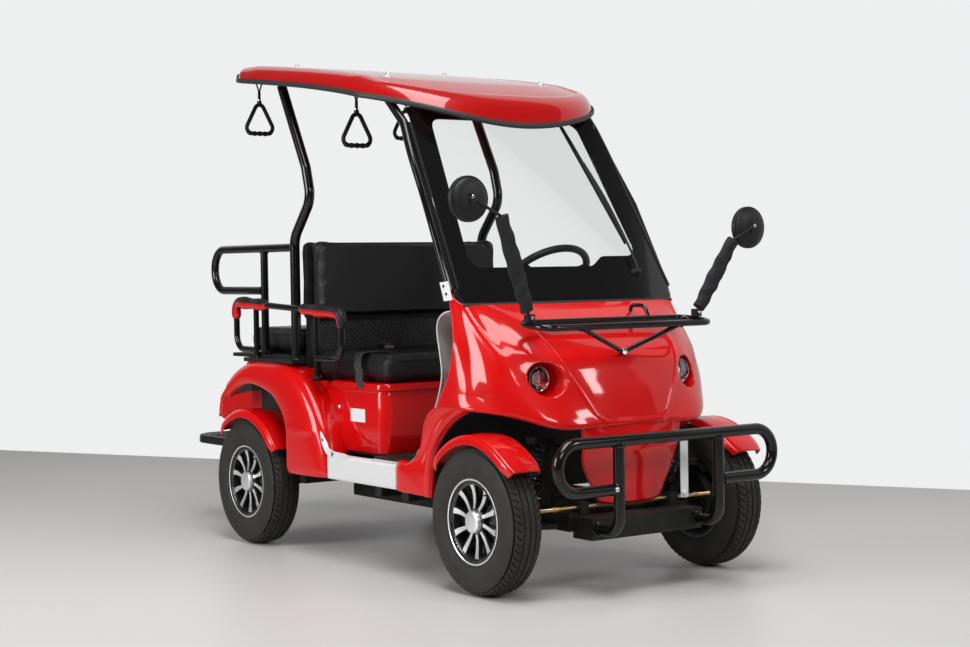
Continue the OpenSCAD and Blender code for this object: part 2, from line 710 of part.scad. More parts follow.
module front_mudguard() {
    color(red) {
        mudguard(tyre_x, yf, 36, 143);
        block([king_x - 10, yf - 12, stay_z0], [guard_edge + 1.5, yf + 12, stay_z1]);
    }
}
module front_mudguard_left() {
    front_mudguard();
}
module front_mudguard_right() {
    mirror([1, 0, 0]) front_mudguard();
}

// A wheel lies on the X axis with its outer face towards +X
module rim() {
    flange_r = rim_r + 13;
    hub_r = 36;
    color("silver") rotate([90, 0, 90]) difference() {
        union() {
            rotate_extrude($fn = 96) polygon([[rim_r - 9, -50], [flange_r, -54], [flange_r, -49.5], [rim_r, -49.5],
                [rim_r, 49.5], [flange_r, 49.5], [flange_r, 54], [rim_r - 9, 54]]);
            translate([0, 0, 26]) cylinder(h = 12, r = rim_r - 8, $fn = 96);
            translate([0, 0, -20]) cylinder(h = 68, r = hub_r, $fn = 64);
        }
        translate([0, 0, -60]) cylinder(h = 91, r = stub_r + 0.5, $fn = 32);
        for (k = [0:spokes - 1]) rotate([0, 0, 360 * k / spokes]) translate([0, 0, 20]) linear_extrude(30)
            polygon([[hub_r + 8, -5], [rim_r - 18, -22], [rim_r - 14, 0], [rim_r - 18, 22], [hub_r + 8, 5]]);
    }
}

module tyre() {
    w = tyre_w / 2;
    bead = rim_r + gap;
    color([0.06, 0.06, 0.06]) rotate([90, 0, 90]) rotate_extrude($fn = 96)
        polygon([[bead, -44], [bead, -49], [rim_r + 15, -49], [rim_r + 30, -w + 4], [tyre_r - 50, -w],
            [tyre_r - 20, -w + 3], [tyre_r - 5, -w + 14], [tyre_r, -w + 26], [tyre_r, w - 26],
            [tyre_r - 5, w - 14], [tyre_r - 20, w - 3], [tyre_r - 50, w], [rim_r + 30, w - 4],
            [rim_r + 15, 49], [bead, 49], [bead, 44], [rim_r + 10, 44], [rim_r + 30, w - 12],
            [tyre_r - 14, w - 14], [tyre_r - 14, -w + 14], [rim_r + 30, -w + 12], [rim_r + 10, -44]]);
}

// Puts a wheel's piece at one corner of the cart; side is 1 on the driver's side
module corner(side, y) {
    translate([side * tyre_x, y, tyre_r]) rotate([0, 0, side > 0 ? 0 : 180]) children();
}
module rim_front_left() { corner(1, yf) rim(); }
module rim_front_right() { corner(-1, yf) rim(); }
module rim_rear_left() { corner(1, yr) rim(); }
module rim_rear_right() { corner(-1, yr) rim(); }
module tyre_front_left() { corner(1, yf) tyre(); }
module tyre_front_right() { corner(-1, yf) tyre(); }
module tyre_rear_left() { corner(1, yr) tyre(); }
module tyre_rear_right() { corner(-1, yr) tyre(); }
module mirror_left() { mirror_arm(1, [520, 1146], 1190); }
module mirror_right() { mirror_arm(-1, [478, 1226], 1280); }

chassis_frame();
floor_pan();
battery_pack();
front_suspension();
rear_axle();
front_cowl();
hood_panel();
nose_apron();
headlamps();
cowl_legs();
dash_panel();
sills();
seat_box();
rear_body();
rear_arches();
rear_mudguards();
bull_bar();
front_rack();
mirror_left();
mirror_right();
windscreen();
wiper();
a_pillars();
c_pillars();
roof_frame();
roof();
hanging_grips();
seat_base();
back_panel();
front_cushion();
front_backrest();
rear_cushion();
rear_backrest();
armrests();
rear_rails();
footrest();
steering_column();
steering_wheel();
tie_rods();
knuckle_left();
knuckle_right();
front_mudguard_left();
front_mudguard_right();
rim_front_left();
rim_front_right();
rim_rear_left();
rim_rear_right();
tyre_front_left();
tyre_front_right();
tyre_rear_left();
tyre_rear_right();
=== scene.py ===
import math

import bmesh
import bpy
import numpy as np
from mathutils import Matrix, Vector
from mathutils.bvhtree import BVHTree


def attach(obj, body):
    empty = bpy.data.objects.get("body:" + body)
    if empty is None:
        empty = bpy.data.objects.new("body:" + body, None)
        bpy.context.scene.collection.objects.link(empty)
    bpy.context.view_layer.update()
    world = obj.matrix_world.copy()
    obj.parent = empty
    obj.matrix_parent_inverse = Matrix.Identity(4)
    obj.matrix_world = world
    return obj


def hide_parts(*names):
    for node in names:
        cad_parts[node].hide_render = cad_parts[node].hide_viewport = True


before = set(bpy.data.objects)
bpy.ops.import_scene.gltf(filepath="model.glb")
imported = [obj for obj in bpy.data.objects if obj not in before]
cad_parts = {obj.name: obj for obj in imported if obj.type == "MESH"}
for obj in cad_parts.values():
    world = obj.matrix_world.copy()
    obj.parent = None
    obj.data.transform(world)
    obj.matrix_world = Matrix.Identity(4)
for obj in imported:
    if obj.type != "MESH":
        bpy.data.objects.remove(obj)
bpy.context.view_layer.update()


# Studio. A plain pale floor and wall, lit by large soft boxes: a long one overhead,
# one on each side and one behind the camera, which draw the highlights on the paint.
# The camera stands at the front right corner of the cart, a little over seat height.
class Tone:
    """A shader value. + * ** < between it and a number or another value add that Math node."""

    def __init__(self, finish, socket):
        self.finish, self.socket = finish, socket

    def math(self, operation, a, b):
        return self.finish.node("Math", {"operation": operation}, {0: a, 1: b})

    def __add__(self, other):
        return self.math("ADD", self, other)

    def __mul__(self, other):
        return self.math("MULTIPLY", self, other)

    def __pow__(self, other):
        return self.math("POWER", self, other)

    def __lt__(self, other):
        return self.math("LESS_THAN", self, other)

    __radd__ = __add__
    __rmul__ = __mul__


class Tree:
    """A node tree, and the one method that adds a node to it."""

    def __init__(self, tree):
        self.nodes, self.links = tree.nodes, tree.links

    def wire(self, node, sockets):
        for key, value in sockets.items():
            if isinstance(value, Tone):
                self.links.new(value.socket, node.inputs[key])
            else:
                node.inputs[key].default_value = value

    def node(self, kind, settings=None, sockets=None, out=0):
        new = self.nodes.new("ShaderNode" + kind)
        for key, value in (settings or {}).items():
            setattr(new, key, value)
        self.wire(new, sockets or {})
        return Tone(self, new.outputs[out])


class Finish(Tree):
    """A material with a Principled surface."""

    def __init__(self, name, surface):
        self.material = bpy.data.materials.new(name)
        self.material.use_nodes = True
        super().__init__(self.material.node_tree)
        self.surface = self.nodes["Principled BSDF"]
        self.wire(self.surface, surface)

    def place(self, scale=(1, 1, 1)):
        """Object coordinates in metres, stretched by scale."""
        raw = self.node("TexCoord", out="Object")
        return self.node("Mapping", {}, {"Vector": raw, "Scale": scale})

    def noise(self, scale, detail=3.0, where=None, rough=0.5):
        return self.node("TexNoise", {}, {"Vector": where or self.place(), "Scale": scale, "Detail": detail,
                                          "Roughness": rough})

    def blend(self, mask, a, b):
        """Colour a where the mask is 0 and colour b where it is 1."""
        return self.node("Mix", {"data_type": "RGBA"}, {0: mask, 6: a, 7: b}, out=2)

    def rough(self, scale, detail, span, low):
        """Roughness from low to low + span, in patches."""
        self.wire(self.surface, {"Roughness": self.noise(scale, detail) * span + low})

    def bump(self, height, depth, strength=1.0):
        self.wire(self.surface, {"Normal": self.node("Bump", {}, {
            "Height": height, "Distance": depth, "Strength": strength})})


def rgb(r, g, b):
    return (r, g, b, 1.0)


def clear_sheet(finish, tint, roughness, edge, strength):
    """Makes a finish clear, with a sheen that grows towards the edge-on view by the strength given."""
    clear = finish.node("BsdfTransparent", {}, {"Color": tint})
    sheen = finish.node("BsdfGlossy", {}, {"Roughness": roughness})
    mask = finish.node("LayerWeight", {}, {"Blend": edge}, out="Fresnel") * strength
    mixed = finish.node("MixShader", {}, {0: mask, 1: clear, 2: sheen})
    finish.wire(finish.nodes["Material Output"], {"Surface": mixed})
    finish.nodes.remove(finish.surface)


eye = Vector((-3.934, -5.865, 1.067))
yaw, pitch, roll = math.radians(35.47), math.radians(-1.77), math.radians(-0.87)
look = Vector((math.sin(yaw) * math.cos(pitch), math.cos(yaw) * math.cos(pitch), math.sin(pitch)))
level = Vector((math.cos(yaw), -math.sin(yaw), 0))
above = level.cross(look)
right = level * math.cos(roll) + above * math.sin(roll)
up = above * math.cos(roll) - level * math.sin(roll)
lens = bpy.data.cameras.new("camera")
lens.lens, lens.sensor_width = 68.56, 36
camera = bpy.data.objects.new("camera", lens)
camera.matrix_world = Matrix(((right.x, up.x, -look.x, eye.x), (right.y, up.y, -look.y, eye.y),
                              (right.z, up.z, -look.z, eye.z), (0, 0, 0, 1)))
scene = bpy.context.scene
scene.collection.objects.link(camera)
scene.camera = camera
scene.view_settings.view_transform = "Standard"


def stage_plane(name, corners, colour, roughness):
    """A flat sheet of the studio through its corners."""
    mesh = bpy.data.meshes.new(name)
    mesh.from_pydata(corners, [], [list(range(len(corners)))])
    made = bpy.data.objects.new(name, mesh)
    scene.collection.objects.link(made)
    finish = Finish(name, {"Base Color": colour, "Roughness": roughness})
    mesh.materials.append(finish.material)
    return finish


wall_a, wall_b = Vector((-5.21, 15.27, 0)), Vector((6.84, -7.98, 0))
wall_top, floor_half = Vector((0, 0, 5)), 7
stage_plane("floor", [(x * floor_half, y * floor_half, 0) for x, y in ((-1, -1), (1, -1), (1, 1), (-1, 1))],
            rgb(0.58, 0.57, 0.555), 0.42)
wall = stage_plane("wall", [wall_a, wall_b, wall_b + wall_top, wall_a + wall_top], rgb(0.30, 0.30, 0.30), 0.9)
# The wall glows for the camera and, less, for reflections. It shows from its front only, so that the cart
# can be seen from every side; the sky is bright for the camera alone.
glow = wall.node("Emission", {}, {"Color": rgb(0.86, 0.865, 0.87)})
seen = wall.node("Math", {"operation": "MULTIPLY_ADD", "use_clamp": True}, {
    0: wall.node("LightPath", out="Is Glossy Ray"), 1: 0.75, 2: wall.node("LightPath", out="Is Camera Ray")})
front = wall.node("MixShader", {}, {0: seen, 1: Tone(wall, wall.surface.outputs[0]), 2: glow})
one_sided = wall.node("MixShader", {}, {0: wall.node("NewGeometry", out="Backfacing"), 1: front,
                                        2: wall.node("BsdfTransparent")})
wall.wire(wall.nodes["Material Output"], {"Surface": one_sided})

world = bpy.data.worlds.new("studio")
scene.world = world
world.use_nodes = True
sky = Tree(world.node_tree)
sky.wire(sky.nodes["Background"], {"Color": rgb(1, 1, 1),
                                   "Strength": sky.node("LightPath", out="Is Camera Ray") * 0.79 + 0.07})


def softbox(name, place, target, size, power):
    lamp = bpy.data.lights.new(name, "AREA")
    lamp.shape, lamp.size, lamp.size_y, lamp.energy = "RECTANGLE", size[0], size[1], power
    box = bpy.data.objects.new(name, lamp)
    box.location = place
    box.rotation_euler = (Vector(target) - Vector(place)).to_track_quat("-Z", "Y").to_euler()
    scene.collection.objects.link(box)


softbox("overhead", (-1.0, -1.6, 4.6), (0, -0.4, 0), (2.2, 3.6), 190)
softbox("left_side", (-5.6, 0.6, 2.4), (0, 0, 0.7), (2.6, 2.4), 205)
softbox("right_side", (2.6, -5.6, 3.2), (0, -0.6, 0.8), (0.8, 1.6), 60)
softbox("front", (-2.2, -6.4, 3.4), (0, -0.5, 0.7), (2.0, 1.0), 75)


# Shaping of pieces. A piece is one mesh joined from parts; a part is its points, its faces, the place
# of each point on the surface in metres, and which finish of the piece it takes.
def unit(v):
    return v / np.maximum(np.linalg.norm(v, axis=-1, keepdims=True), 1e-12)


def grid(points, finish=0, flip=False):
    """Four-sided faces over points[i, j]; they face along (step in i) x (step in j), or the other way if flipped."""
    p = np.asarray(points, float)
    n, m = p.shape[:2]
    k = np.arange(n * m).reshape(n, m)
    quads = np.stack([k[:-1, :-1], k[1:, :-1], k[1:, 1:], k[:-1, 1:]], -1).reshape(-1, 4)
    u = np.r_[0, np.cumsum(np.linalg.norm(np.diff(p, axis=0), axis=2).mean(1))]
    v = np.r_[0, np.cumsum(np.linalg.norm(np.diff(p, axis=1), axis=2).mean(0))]
    flow = np.stack(np.meshgrid(u, v, indexing="ij"), -1).reshape(-1, 2)
    return p.reshape(-1, 3), (quads[:, ::-1] if flip else quads).tolist(), flow, finish


def past_rounded(a, b, radius):
    """Distance past the outline of a rectangle with round corners. a and b are the distances past its sides,
    each with the radius added."""
    return np.hypot(np.maximum(a, 0), np.maximum(b, 0)) + np.minimum(np.maximum(a, b), 0) - radius


def facing(p):
    """Unit normal of a grid of points, from the steps along its two directions."""
    return unit(np.cross(np.gradient(p, axis=0), np.gradient(p, axis=1)))


def sheet(points, thick, finish=0, flip=False):
    """A panel: the surface, the same surface set back by the thickness, and the edges that close them."""
    p = np.asarray(points, float)
    q = p - facing(p) * (-thick if flip else thick)
    edges = [(p[0], q[0]), (q[-1], p[-1]), (q[:, 0], p[:, 0]), (p[:, -1], q[:, -1])]
    return [grid(p, finish), grid(q[:, ::-1], finish)] + [grid(np.stack(e), finish) for e in edges]


def route(points, radius, steps=8):
    """Straight runs joined by arcs of the given radius."""
    p = np.asarray(points, float)
    out = [p[:1]]
    s = np.linspace(0, 1, steps + 1)[:, None]
    for a, b, c in zip(p, p[1:], p[2:]):
        u, v = unit(a - b), unit(c - b)
        half = math.acos(max(-0.9999, min(0.9999, float(u @ v)))) / 2
        d = min(radius / math.tan(half), np.linalg.norm(a - b) * 0.49, np.linalg.norm(c - b) * 0.49)
        centre = b + unit(u + v) * d / math.cos(half)
        e, f = b + u * d - centre, b + v * d - centre
        turn = math.pi - 2 * half
        out.append(centre + (np.sin((1 - s) * turn) * e + np.sin(s * turn) * f) / math.sin(turn))
    return np.concatenate(out + [p[-1:]])


def tube(path, radius, side, closed=False, n=20, finish=0, lip=0.002):
    """A round section carried along a path; ring k sits at path[k], square to it. Open ends are closed with a
    small round lip."""
    p = np.asarray(path, float)
    ahead, behind = np.roll(p, -1, 0), np.roll(p, 1, 0)
    if not closed:
        ahead[-1], behind[0] = p[-1], p[0]
    t = unit(ahead - behind)
    u = unit(np.cross(np.broadcast_to(np.asarray(side, float), t.shape), t))
    w = np.cross(t, u)
    r = np.broadcast_to(np.asarray(radius, float), (len(p),)).copy()
    if closed:
        p, u, w, r = (np.concatenate([x, x[:1]]) for x in (p, u, w, r))
    else:
        e0, e1 = min(lip, r[0] / 2), min(lip, r[-1] / 2)
        p = np.concatenate([[p[0], p[0], p[0] + t[0] * e0], p[1:-1], [p[-1] - t[-1] * e1, p[-1], p[-1]]])
        u, w = (np.concatenate([x[:1], x[:1], x, x[-1:], x[-1:]]) for x in (u, w))
        r = np.concatenate([[0, r[0] - e0], r, [r[-1] - e1, 0]])
    a = np.linspace(0, 2 * np.pi, n + 1)[None, :, None]
    return grid(p[:, None] + r[:, None, None] * (np.cos(a) * u[:, None] + np.sin(a) * w[:, None]), finish,
                True)


def lathe(profile, centre, axis, n=96, finish=0):
    """A profile of (distance along the axis, radius) turned about an axis through centre."""
    q = np.asarray(profile, float)
    ax = unit(np.asarray(axis, float))
    e = unit(np.cross(ax, [0.0, 0.0, 1.0] if abs(ax[2]) < 0.9 else [1.0, 0.0, 0.0]))
    f = np.cross(ax, e)
    a = np.linspace(0, 2 * np.pi, n + 1)[None, :, None]
    return grid(np.asarray(centre, float) + q[:, None, :1] * ax
                + q[:, None, 1:] * (np.cos(a) * e + np.sin(a) * f), finish, True)


def plate(outline, low, high, axis=0, finish=0):
    """A flat outline of (y, z), (x, z) or (x, y) points, given thickness from low to high along the third axis."""
    q = np.asarray(outline, float)
    n = len(q)
    ends = [np.insert(q, axis, level, axis=1) for level in (low, high)]
    k = np.arange(n)
    walls = np.stack([k, (k + 1) % n, (k + 1) % n + n, k + n], -1).tolist()
    return np.concatenate(ends), walls + [k[::-1].tolist(), (k + n).tolist()], np.zeros((2 * n, 2)), finish


def block(low, high, finish=0):
    """A box between two corners, as a plate along Z."""
    (x0, y0, z0), (x1, y1, z1) = low, high
    return plate([(x0, y0), (x1, y0), (x1, y1), (x0, y1)], z0, z1, 2, finish)


def mirrored(part):
    """The part on the other side of the cart, with its faces turned back outwards."""
    points, faces, flow, finish = part
    return points * [-1, 1, 1], [f[::-1] for f in faces], flow, finish


def pair(parts):
    return list(parts) + [mirrored(p) for p in parts]


def piece(name, parts, finishes, replaces=(), body="cart", sharp=35, turn=True, bevel=0.0, wall=0.0):
    """Joins parts into one mesh that rides on a body. bevel rounds its edges, and wall gives an open sheet
    thickness inwards."""
    start = np.cumsum([0] + [len(p[0]) for p in parts])
    mesh = bpy.data.meshes.new(name)
    mesh.from_pydata(np.concatenate([p[0] for p in parts]).tolist(), [],
                     [[i + s for i in f] for p, s in zip(parts, start) for f in p[1]])
    flow = np.concatenate([p[2] for p in parts]).astype(np.float32)
    corner = np.empty(len(mesh.loops), np.int32)
    mesh.loops.foreach_get("vertex_index", corner)
    mesh.uv_layers.new(name="flow").data.foreach_set("uv", flow[corner].ravel())
    mesh.polygons.foreach_set("material_index", np.repeat([p[3] for p in parts], [len(p[1]) for p in parts]))
    for finish in finishes:
        mesh.materials.append(finish.material)
    bm = bmesh.new()
    bm.from_mesh(mesh)
    bmesh.ops.remove_doubles(bm, verts=bm.verts, dist=1e-6)
    bmesh.ops.dissolve_degenerate(bm, edges=bm.edges, dist=1e-7)
    if turn:
        bmesh.ops.recalc_face_normals(bm, faces=bm.faces)
    bm.to_mesh(mesh)
    bm.free()
    mesh.shade_smooth()
    mesh.set_sharp_from_angle(angle=math.radians(sharp))
    made = bpy.data.objects.new(name, mesh)
    scene.collection.objects.link(made)
    if wall:
        solid = made.modifiers.new("wall", "SOLIDIFY")
        solid.thickness, solid.offset, solid.use_even_offset = wall, -1, True
    if bevel:
        soft = made.modifiers.new("edges", "BEVEL")
        soft.width, soft.segments, soft.limit_method, soft.angle_limit = bevel, 2, "ANGLE", math.radians(40)
        soft.harden_normals = True
    if replaces:
        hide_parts(*replaces)
    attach(made, body)
    return made


def dress(finish, *nodes):
    """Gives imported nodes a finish."""
    for node in nodes:
        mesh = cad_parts[node].data
        mesh.materials.clear()
        mesh.materials.append(finish.material)


# Finishes that several pieces share. The red is sprayed and clear-coated, the tubes are powder
# coated gloss black, and the running gear is a duller black with road dust in its low places.
red = Finish("red_paint", {"Base Color": rgb(0.60, 0.002, 0.003), "Roughness": 0.38, "Coat Weight": 0.85,
                           "Coat Roughness": 0.07, "Specular IOR Level": 0.12})
red.wire(red.surface, {"Base Color": red.blend(red.noise(3.0, 2.0), rgb(0.58, 0.0006, 0.001),
                                               rgb(0.66, 0.001, 0.0015)),
                       "Roughness": red.noise(9.0, 4.0) * 0.10 + 0.34})
red.bump(red.noise(260.0, 2.0), 0.0004, 0.10)

gloss = Finish("black_tube", {"Base Color": rgb(0.004, 0.004, 0.004), "Roughness": 0.22, "Coat Weight": 0.4,
                              "Coat Roughness": 0.06, "Specular IOR Level": 0.25})
gloss.rough(14.0, 4.0, 0.16, 0.14)
gloss.bump(gloss.noise(320.0, 2.0), 0.0004, 0.16)

steel = Finish("black_steel", {"Base Color": rgb(0.012, 0.012, 0.012), "Roughness": 0.55,
                               "Specular IOR Level": 0.25})
steel.wire(steel.surface, {"Base Color": steel.blend(steel.noise(18.0, 5.0) ** 2.0, rgb(0.006, 0.006, 0.006),
                                                     rgb(0.032, 0.030, 0.027)),
                           "Roughness": steel.noise(30.0, 4.0) * 0.3 + 0.4})
steel.bump(steel.noise(180.0, 3.0), 0.0006, 0.3)

moulded = Finish("black_plastic", {"Base Color": rgb(0.010, 0.010, 0.011), "Roughness": 0.45,
                                   "Specular IOR Level": 0.3})
moulded.rough(40.0, 3.0, 0.14, 0.38)
moulded.bump(moulded.noise(700.0, 2.0), 0.0003, 0.35)

bright = Finish("bright_metal", {"Base Color": rgb(0.72, 0.72, 0.73), "Roughness": 0.22, "Metallic": 1.0})
bright.rough(60.0, 3.0, 0.16, 0.14)

dress(steel, "chassis_frame", "floor_pan", "front_suspension", "rear_axle", "steering_column",
      "seat_base", "knuckle_left", "knuckle_right")
dress(moulded, "wiper", "mirror_left", "mirror_right")


# Front body. One moulded shell of red plastic runs from the windscreen down over the headlamps to the
# wheel openings, with a hood let into its middle: the shut line is a narrow groove with a soft ridge
# beside it. The shell is a smooth net of lines from the middle of the cart to the door edge.
front_axle, rear_axle = -1.0, 0.535


def spline(p, t):
    """A smooth line through points p along the first axis, at places t: each span is a cubic that leaves and
    meets its points parallel to the line between their neighbours."""
    n = len(p) - 1
    i = np.clip(np.floor(t).astype(int), 0, n - 1)
    s = (t - i).reshape((-1,) + (1,) * (p.ndim - 1))
    a, b, c, d = p[np.maximum(i - 1, 0)], p[i], p[i + 1], p[np.minimum(i + 2, n)]
    return 0.5 * (2 * b + (c - a) * s + (2 * a - 5 * b + 4 * c - d) * s**2 + (3 * b - a - 3 * c + d) * s**3)


cowl_lines = np.array([
    [[0, 141, 935], [270, 141, 936], [380, 141, 937], [430, 143, 938], [453, 155, 945], [470, 195, 975]],
    [[0, 15, 862], [262, 25, 865], [372, 55, 868], [430, 90, 866], [465, 120, 865], [487, 152, 862]],
    [[0, -114, 772], [245, -88, 778], [365, -30, 785], [432, 35, 790], [474, 92, 785], [494, 143, 790]],
    [[0, -155, 680], [205, -140, 690], [350, -75, 695], [437, -12, 695], [487, 75, 690], [500, 165, 700]],
    [[0, -181, 563], [133, -180, 566], [298, -158, 570], [414, -56, 602], [495, 78, 622], [502, 205, 640]],
    [[0, -184, 540], [125, -183, 541], [290, -165, 541], [410, -58, 582], [496, 78, 600.6], [503, 228, 600]],
]) / 1000 + [0, front_axle, 0]
cowl_net = np.concatenate([cowl_lines[:, :0:-1] * [-1, 1, 1], cowl_lines], axis=1)
hood_rows, hood_half = (1.0, 4.0), 1.0
shut_depth, shut_half, hood_corner = 0.0045, 0.0016, 0.022


def cowl(u, v):
    """Points of the shell: u runs down its six lines and v across them, 0 in the middle and 5 at a door edge."""
    across = spline(cowl_net.transpose(1, 0, 2), v + 5)
    return spline(across.transpose(1, 0, 2), u)


near = np.linspace(-1, 1, 21) * 0.060
u = np.unique(np.round(np.concatenate([np.linspace(0, 5, 76), 1 + near * 2, 4 + near * 2]), 5))
v = np.unique(np.round(np.concatenate([np.linspace(-5, 5, 181), 1 + near, -1 + near]), 5))
shell = cowl(u, v)
out = facing(shell)
down = np.linalg.norm(np.gradient(shell, u, axis=0), axis=2)
across = np.linalg.norm(np.gradient(shell, v, axis=1), axis=2)
U, V = np.meshgrid(u, v, indexing="ij")
past_u = np.maximum(hood_rows[0] - U, U - hood_rows[1]) * down + hood_corner
past_v = (np.abs(V) - hood_half) * across + hood_corner
from_shut = past_rounded(past_u, past_v, hood_corner)
groove = -shut_depth * np.exp(-((from_shut / shut_half) ** 4))
ridge = 0.0030 * np.exp(-(((from_shut - 0.013) / 0.0065) ** 2)) * np.clip((U - 1.2) * 2, 0, 1)
# A shallow scoop runs down beside the door edge, and a raised line starts at the corner of the windscreen
scoop = -0.010 * np.exp(-(((np.abs(V) - 4.15 + 0.12 * U) / 0.42) ** 2)) * np.clip(U * 1.5, 0, 1) * np.clip(4.6 - U, 0, 1)
brow = 0.007 * np.exp(-(((np.abs(V) - 3.35 + 0.32 * U) / 0.30) ** 2)) * np.clip(U, 0, 1) * np.clip(3.2 - U, 0, 1)
shell = shell + out * (groove + ridge + scoop + brow)[..., None]
lamp_at, lamp_radius = (0.300, 0.697), 0.057


def settle(made):
    """Applies a piece's modifiers."""
    bpy.context.view_layer.update()
    done = bpy.data.meshes.new_from_object(made.evaluated_get(bpy.context.evaluated_depsgraph_get()))
    made.modifiers.clear()
    made.data = done


def cut(target, cutter):
    """Takes the cutter's volume out of the target and drops the cutter."""
    tool = target.modifiers.new("cut", "BOOLEAN")
    tool.operation, tool.object, tool.solver = "DIFFERENCE", cutter, "EXACT"
    settle(target)
    bpy.data.objects.remove(cutter)


front_shell = piece("front_shell", [grid(shell, 0, True)], [red], ("front_cowl", "hood_panel"),
                    turn=False, wall=0.006)
skin = BVHTree.FromPolygons([Vector(p) for p in shell.reshape(-1, 3)],
                            grid(shell)[1])
ring = np.linspace(0, 2 * np.pi, 97)


def on_skin(x, z):
    """The point of the shell straight behind (x, z), seen from ahead."""
    return np.array(skin.ray_cast(Vector((x, -3, z)), Vector((0, 1, 0)))[0])


# Headlamps. Each sits in a round red well: a projector lens behind a black ring with a thin chrome
# edge, a small indicator lens below it towards the middle, and a bead round the mouth of the well.
lens_glass = Finish("lens_glass", {"Base Color": rgb(0.95, 0.97, 0.98), "Roughness": 0.03, "IOR": 1.45,
                                   "Transmission Weight": 0.85, "Coat Weight": 1.0})
lens_glass.rough(50.0, 3.0, 0.03, 0.01)
cover = Finish("lamp_cover", {"Roughness": 0.0})
clear_sheet(cover, rgb(1, 1, 1), 0.03, 0.3, 0.42)
amber = Finish("indicator_lens", {"Base Color": rgb(0.75, 0.09, 0.05), "Roughness": 0.08, "Coat Weight": 1.0})
amber.rough(60.0, 3.0, 0.08, 0.05)
for side, sign in (("left", 1), ("right", -1)):
    cx, cz = sign * lamp_at[0], lamp_at[1]
    hole = piece(f"hole_{side}", [lathe([(-0.3, 0), (-0.3, lamp_radius), (0.2, lamp_radius), (0.2, 0)],
                                        (cx, front_axle, cz), (0, 1, 0), 96)], [red])
    cut(front_shell, hole)
    rim = np.array([on_skin(cx + lamp_radius * math.cos(a), cz + lamp_radius * math.sin(a)) for a in ring])
    mid = np.array([cx + sign * 0.004, rim[:, 1].max() + 0.012, cz])
    floor_y = mid[1]
    s = np.array([-0.05, 0.0, 0.15, 0.4, 0.7, 0.9, 1.0])[:, None, None]
    wall = rim[None] * (1, 0, 1) + (0, 1, 0) * (rim[None, :, 1:2] * (1 - s) + floor_y * s)
    centre = np.array([cx, 0, cz])
    shrink = np.array([1.0, 1.0, 0.985, 0.97, 0.95, 0.93, 0.87])[:, None, None]
    wall = centre + (wall * (1, 0, 1) - centre) * shrink * (1, 0, 1) + wall * (0, 1, 0)
    base = np.stack([wall[-1], mid + np.c_[0.030 * np.cos(ring), 0 * ring + 0.004, 0.030 * np.sin(ring)],
                     np.broadcast_to(mid + [0, 0.004, 0], rim.shape)])
    bead = tube(rim[:-1] + [0, -0.0005, 0], 0.0022, (0, 1, 0.01), closed=True, n=10)
    piece(f"lamp_well_{side}", [grid(np.concatenate([wall, base])), bead], [red],
          ("headlamps",), turn=False)
    low = mid + [sign * -0.026, -0.004, -0.026]
    piece(f"lamp_{side}", [
        lathe([(0.008, 0.0425), (-0.012, 0.0425), (-0.016, 0.0405), (-0.016, 0.0385), (-0.004, 0.037),
               (0.004, 0.020), (0.006, 0)], mid, (0, 1, 0), 64, 0),
        lathe([(-0.0155, 0.0415), (-0.0185, 0.0405), (-0.0185, 0.039), (-0.0155, 0.038)], mid, (0, 1, 0), 64,
              1),
        lathe([(-0.002, 0.0245), (-0.004, 0.0245), (-0.006, 0.023), (-0.006, 0.021), (0.002, 0.0215)],
              mid, (0, 1, 0), 64, 1),
        lathe([(0.003, 0.0205), (-0.002, 0.0195), (-0.007, 0.015), (-0.0095, 0.008), (-0.010, 0)],
              mid, (0, 1, 0), 64, 2),
        lathe([(0.006, 0.012), (-0.004, 0.012), (-0.009, 0.009), (-0.0112, 0.0045), (-0.012, 0)],
              low, (0, 1, 0), 40, 3)], [gloss, bright, lens_glass, amber], turn=False)
    piece(f"lamp_cover_{side}", [lathe([(-0.014, 0.0385), (-0.0175, 0.035), (-0.022, 0.022), (-0.0235, 0.010),
                                        (-0.024, 0)], mid, (0, 1, 0), 64)],
          [cover], turn=False, wall=0.0015)

# The shell's edges are rolled: a bead along the wheel openings and up each door edge
edge_v = np.linspace(-5, 5, 161)
lower_edge = cowl(np.array([5.0]), edge_v)[0] + [0, 0.004, 0]
door_edge = cowl(np.linspace(0, 5, 61), np.array([5.0]))[:, 0]
piece("shell_edges", pair([tube(door_edge + [-0.006, 0.001, 0], 0.0095, (1, 0, 0.01), n=16)])
      + [tube(lower_edge, 0.0045, (0, 0.3, 1), n=12)], [red])

# Nose apron between the wheel openings: a plain red panel that narrows downwards, with rolled edges.
apron_lines = np.array([
    [[-208, -172, 541], [-130, -181, 540], [0, -184, 539.5], [130, -181, 540], [208, -172, 541]],
    [[-200, -168, 470], [-130, -184, 470], [0, -192, 470], [130, -184, 470], [200, -168, 470]],
    [[-185, -160, 400], [-120, -174, 400], [0, -182, 400], [120, -174, 400], [185, -160, 400]],
    [[-127, -160, 290], [-90, -168, 282], [0, -172, 280], [90, -168, 282],
     [127, -160, 290]]]) / 1000 + [0, front_axle, 0]
s, t = np.linspace(0, 3, 40), np.linspace(0, 4, 61)
apron = spline(spline(apron_lines.transpose(1, 0, 2), t).transpose(1, 0, 2), s)
# A soft step runs across under the bumper
step = 0.006 / (1 + np.exp((apron[..., 2] - 0.452) / 0.006))
apron[..., 1] += step
border = np.concatenate([apron[:, 0], apron[-1, 1:], apron[-2::-1, -1]])
piece("nose_panel", [grid(apron, 0, True)], [red], ("nose_apron",), turn=False, wall=0.005)
piece("nose_edge", [tube(border + [0, 0.003, 0], 0.0042, (0, 1, 0), n=10)], [red])

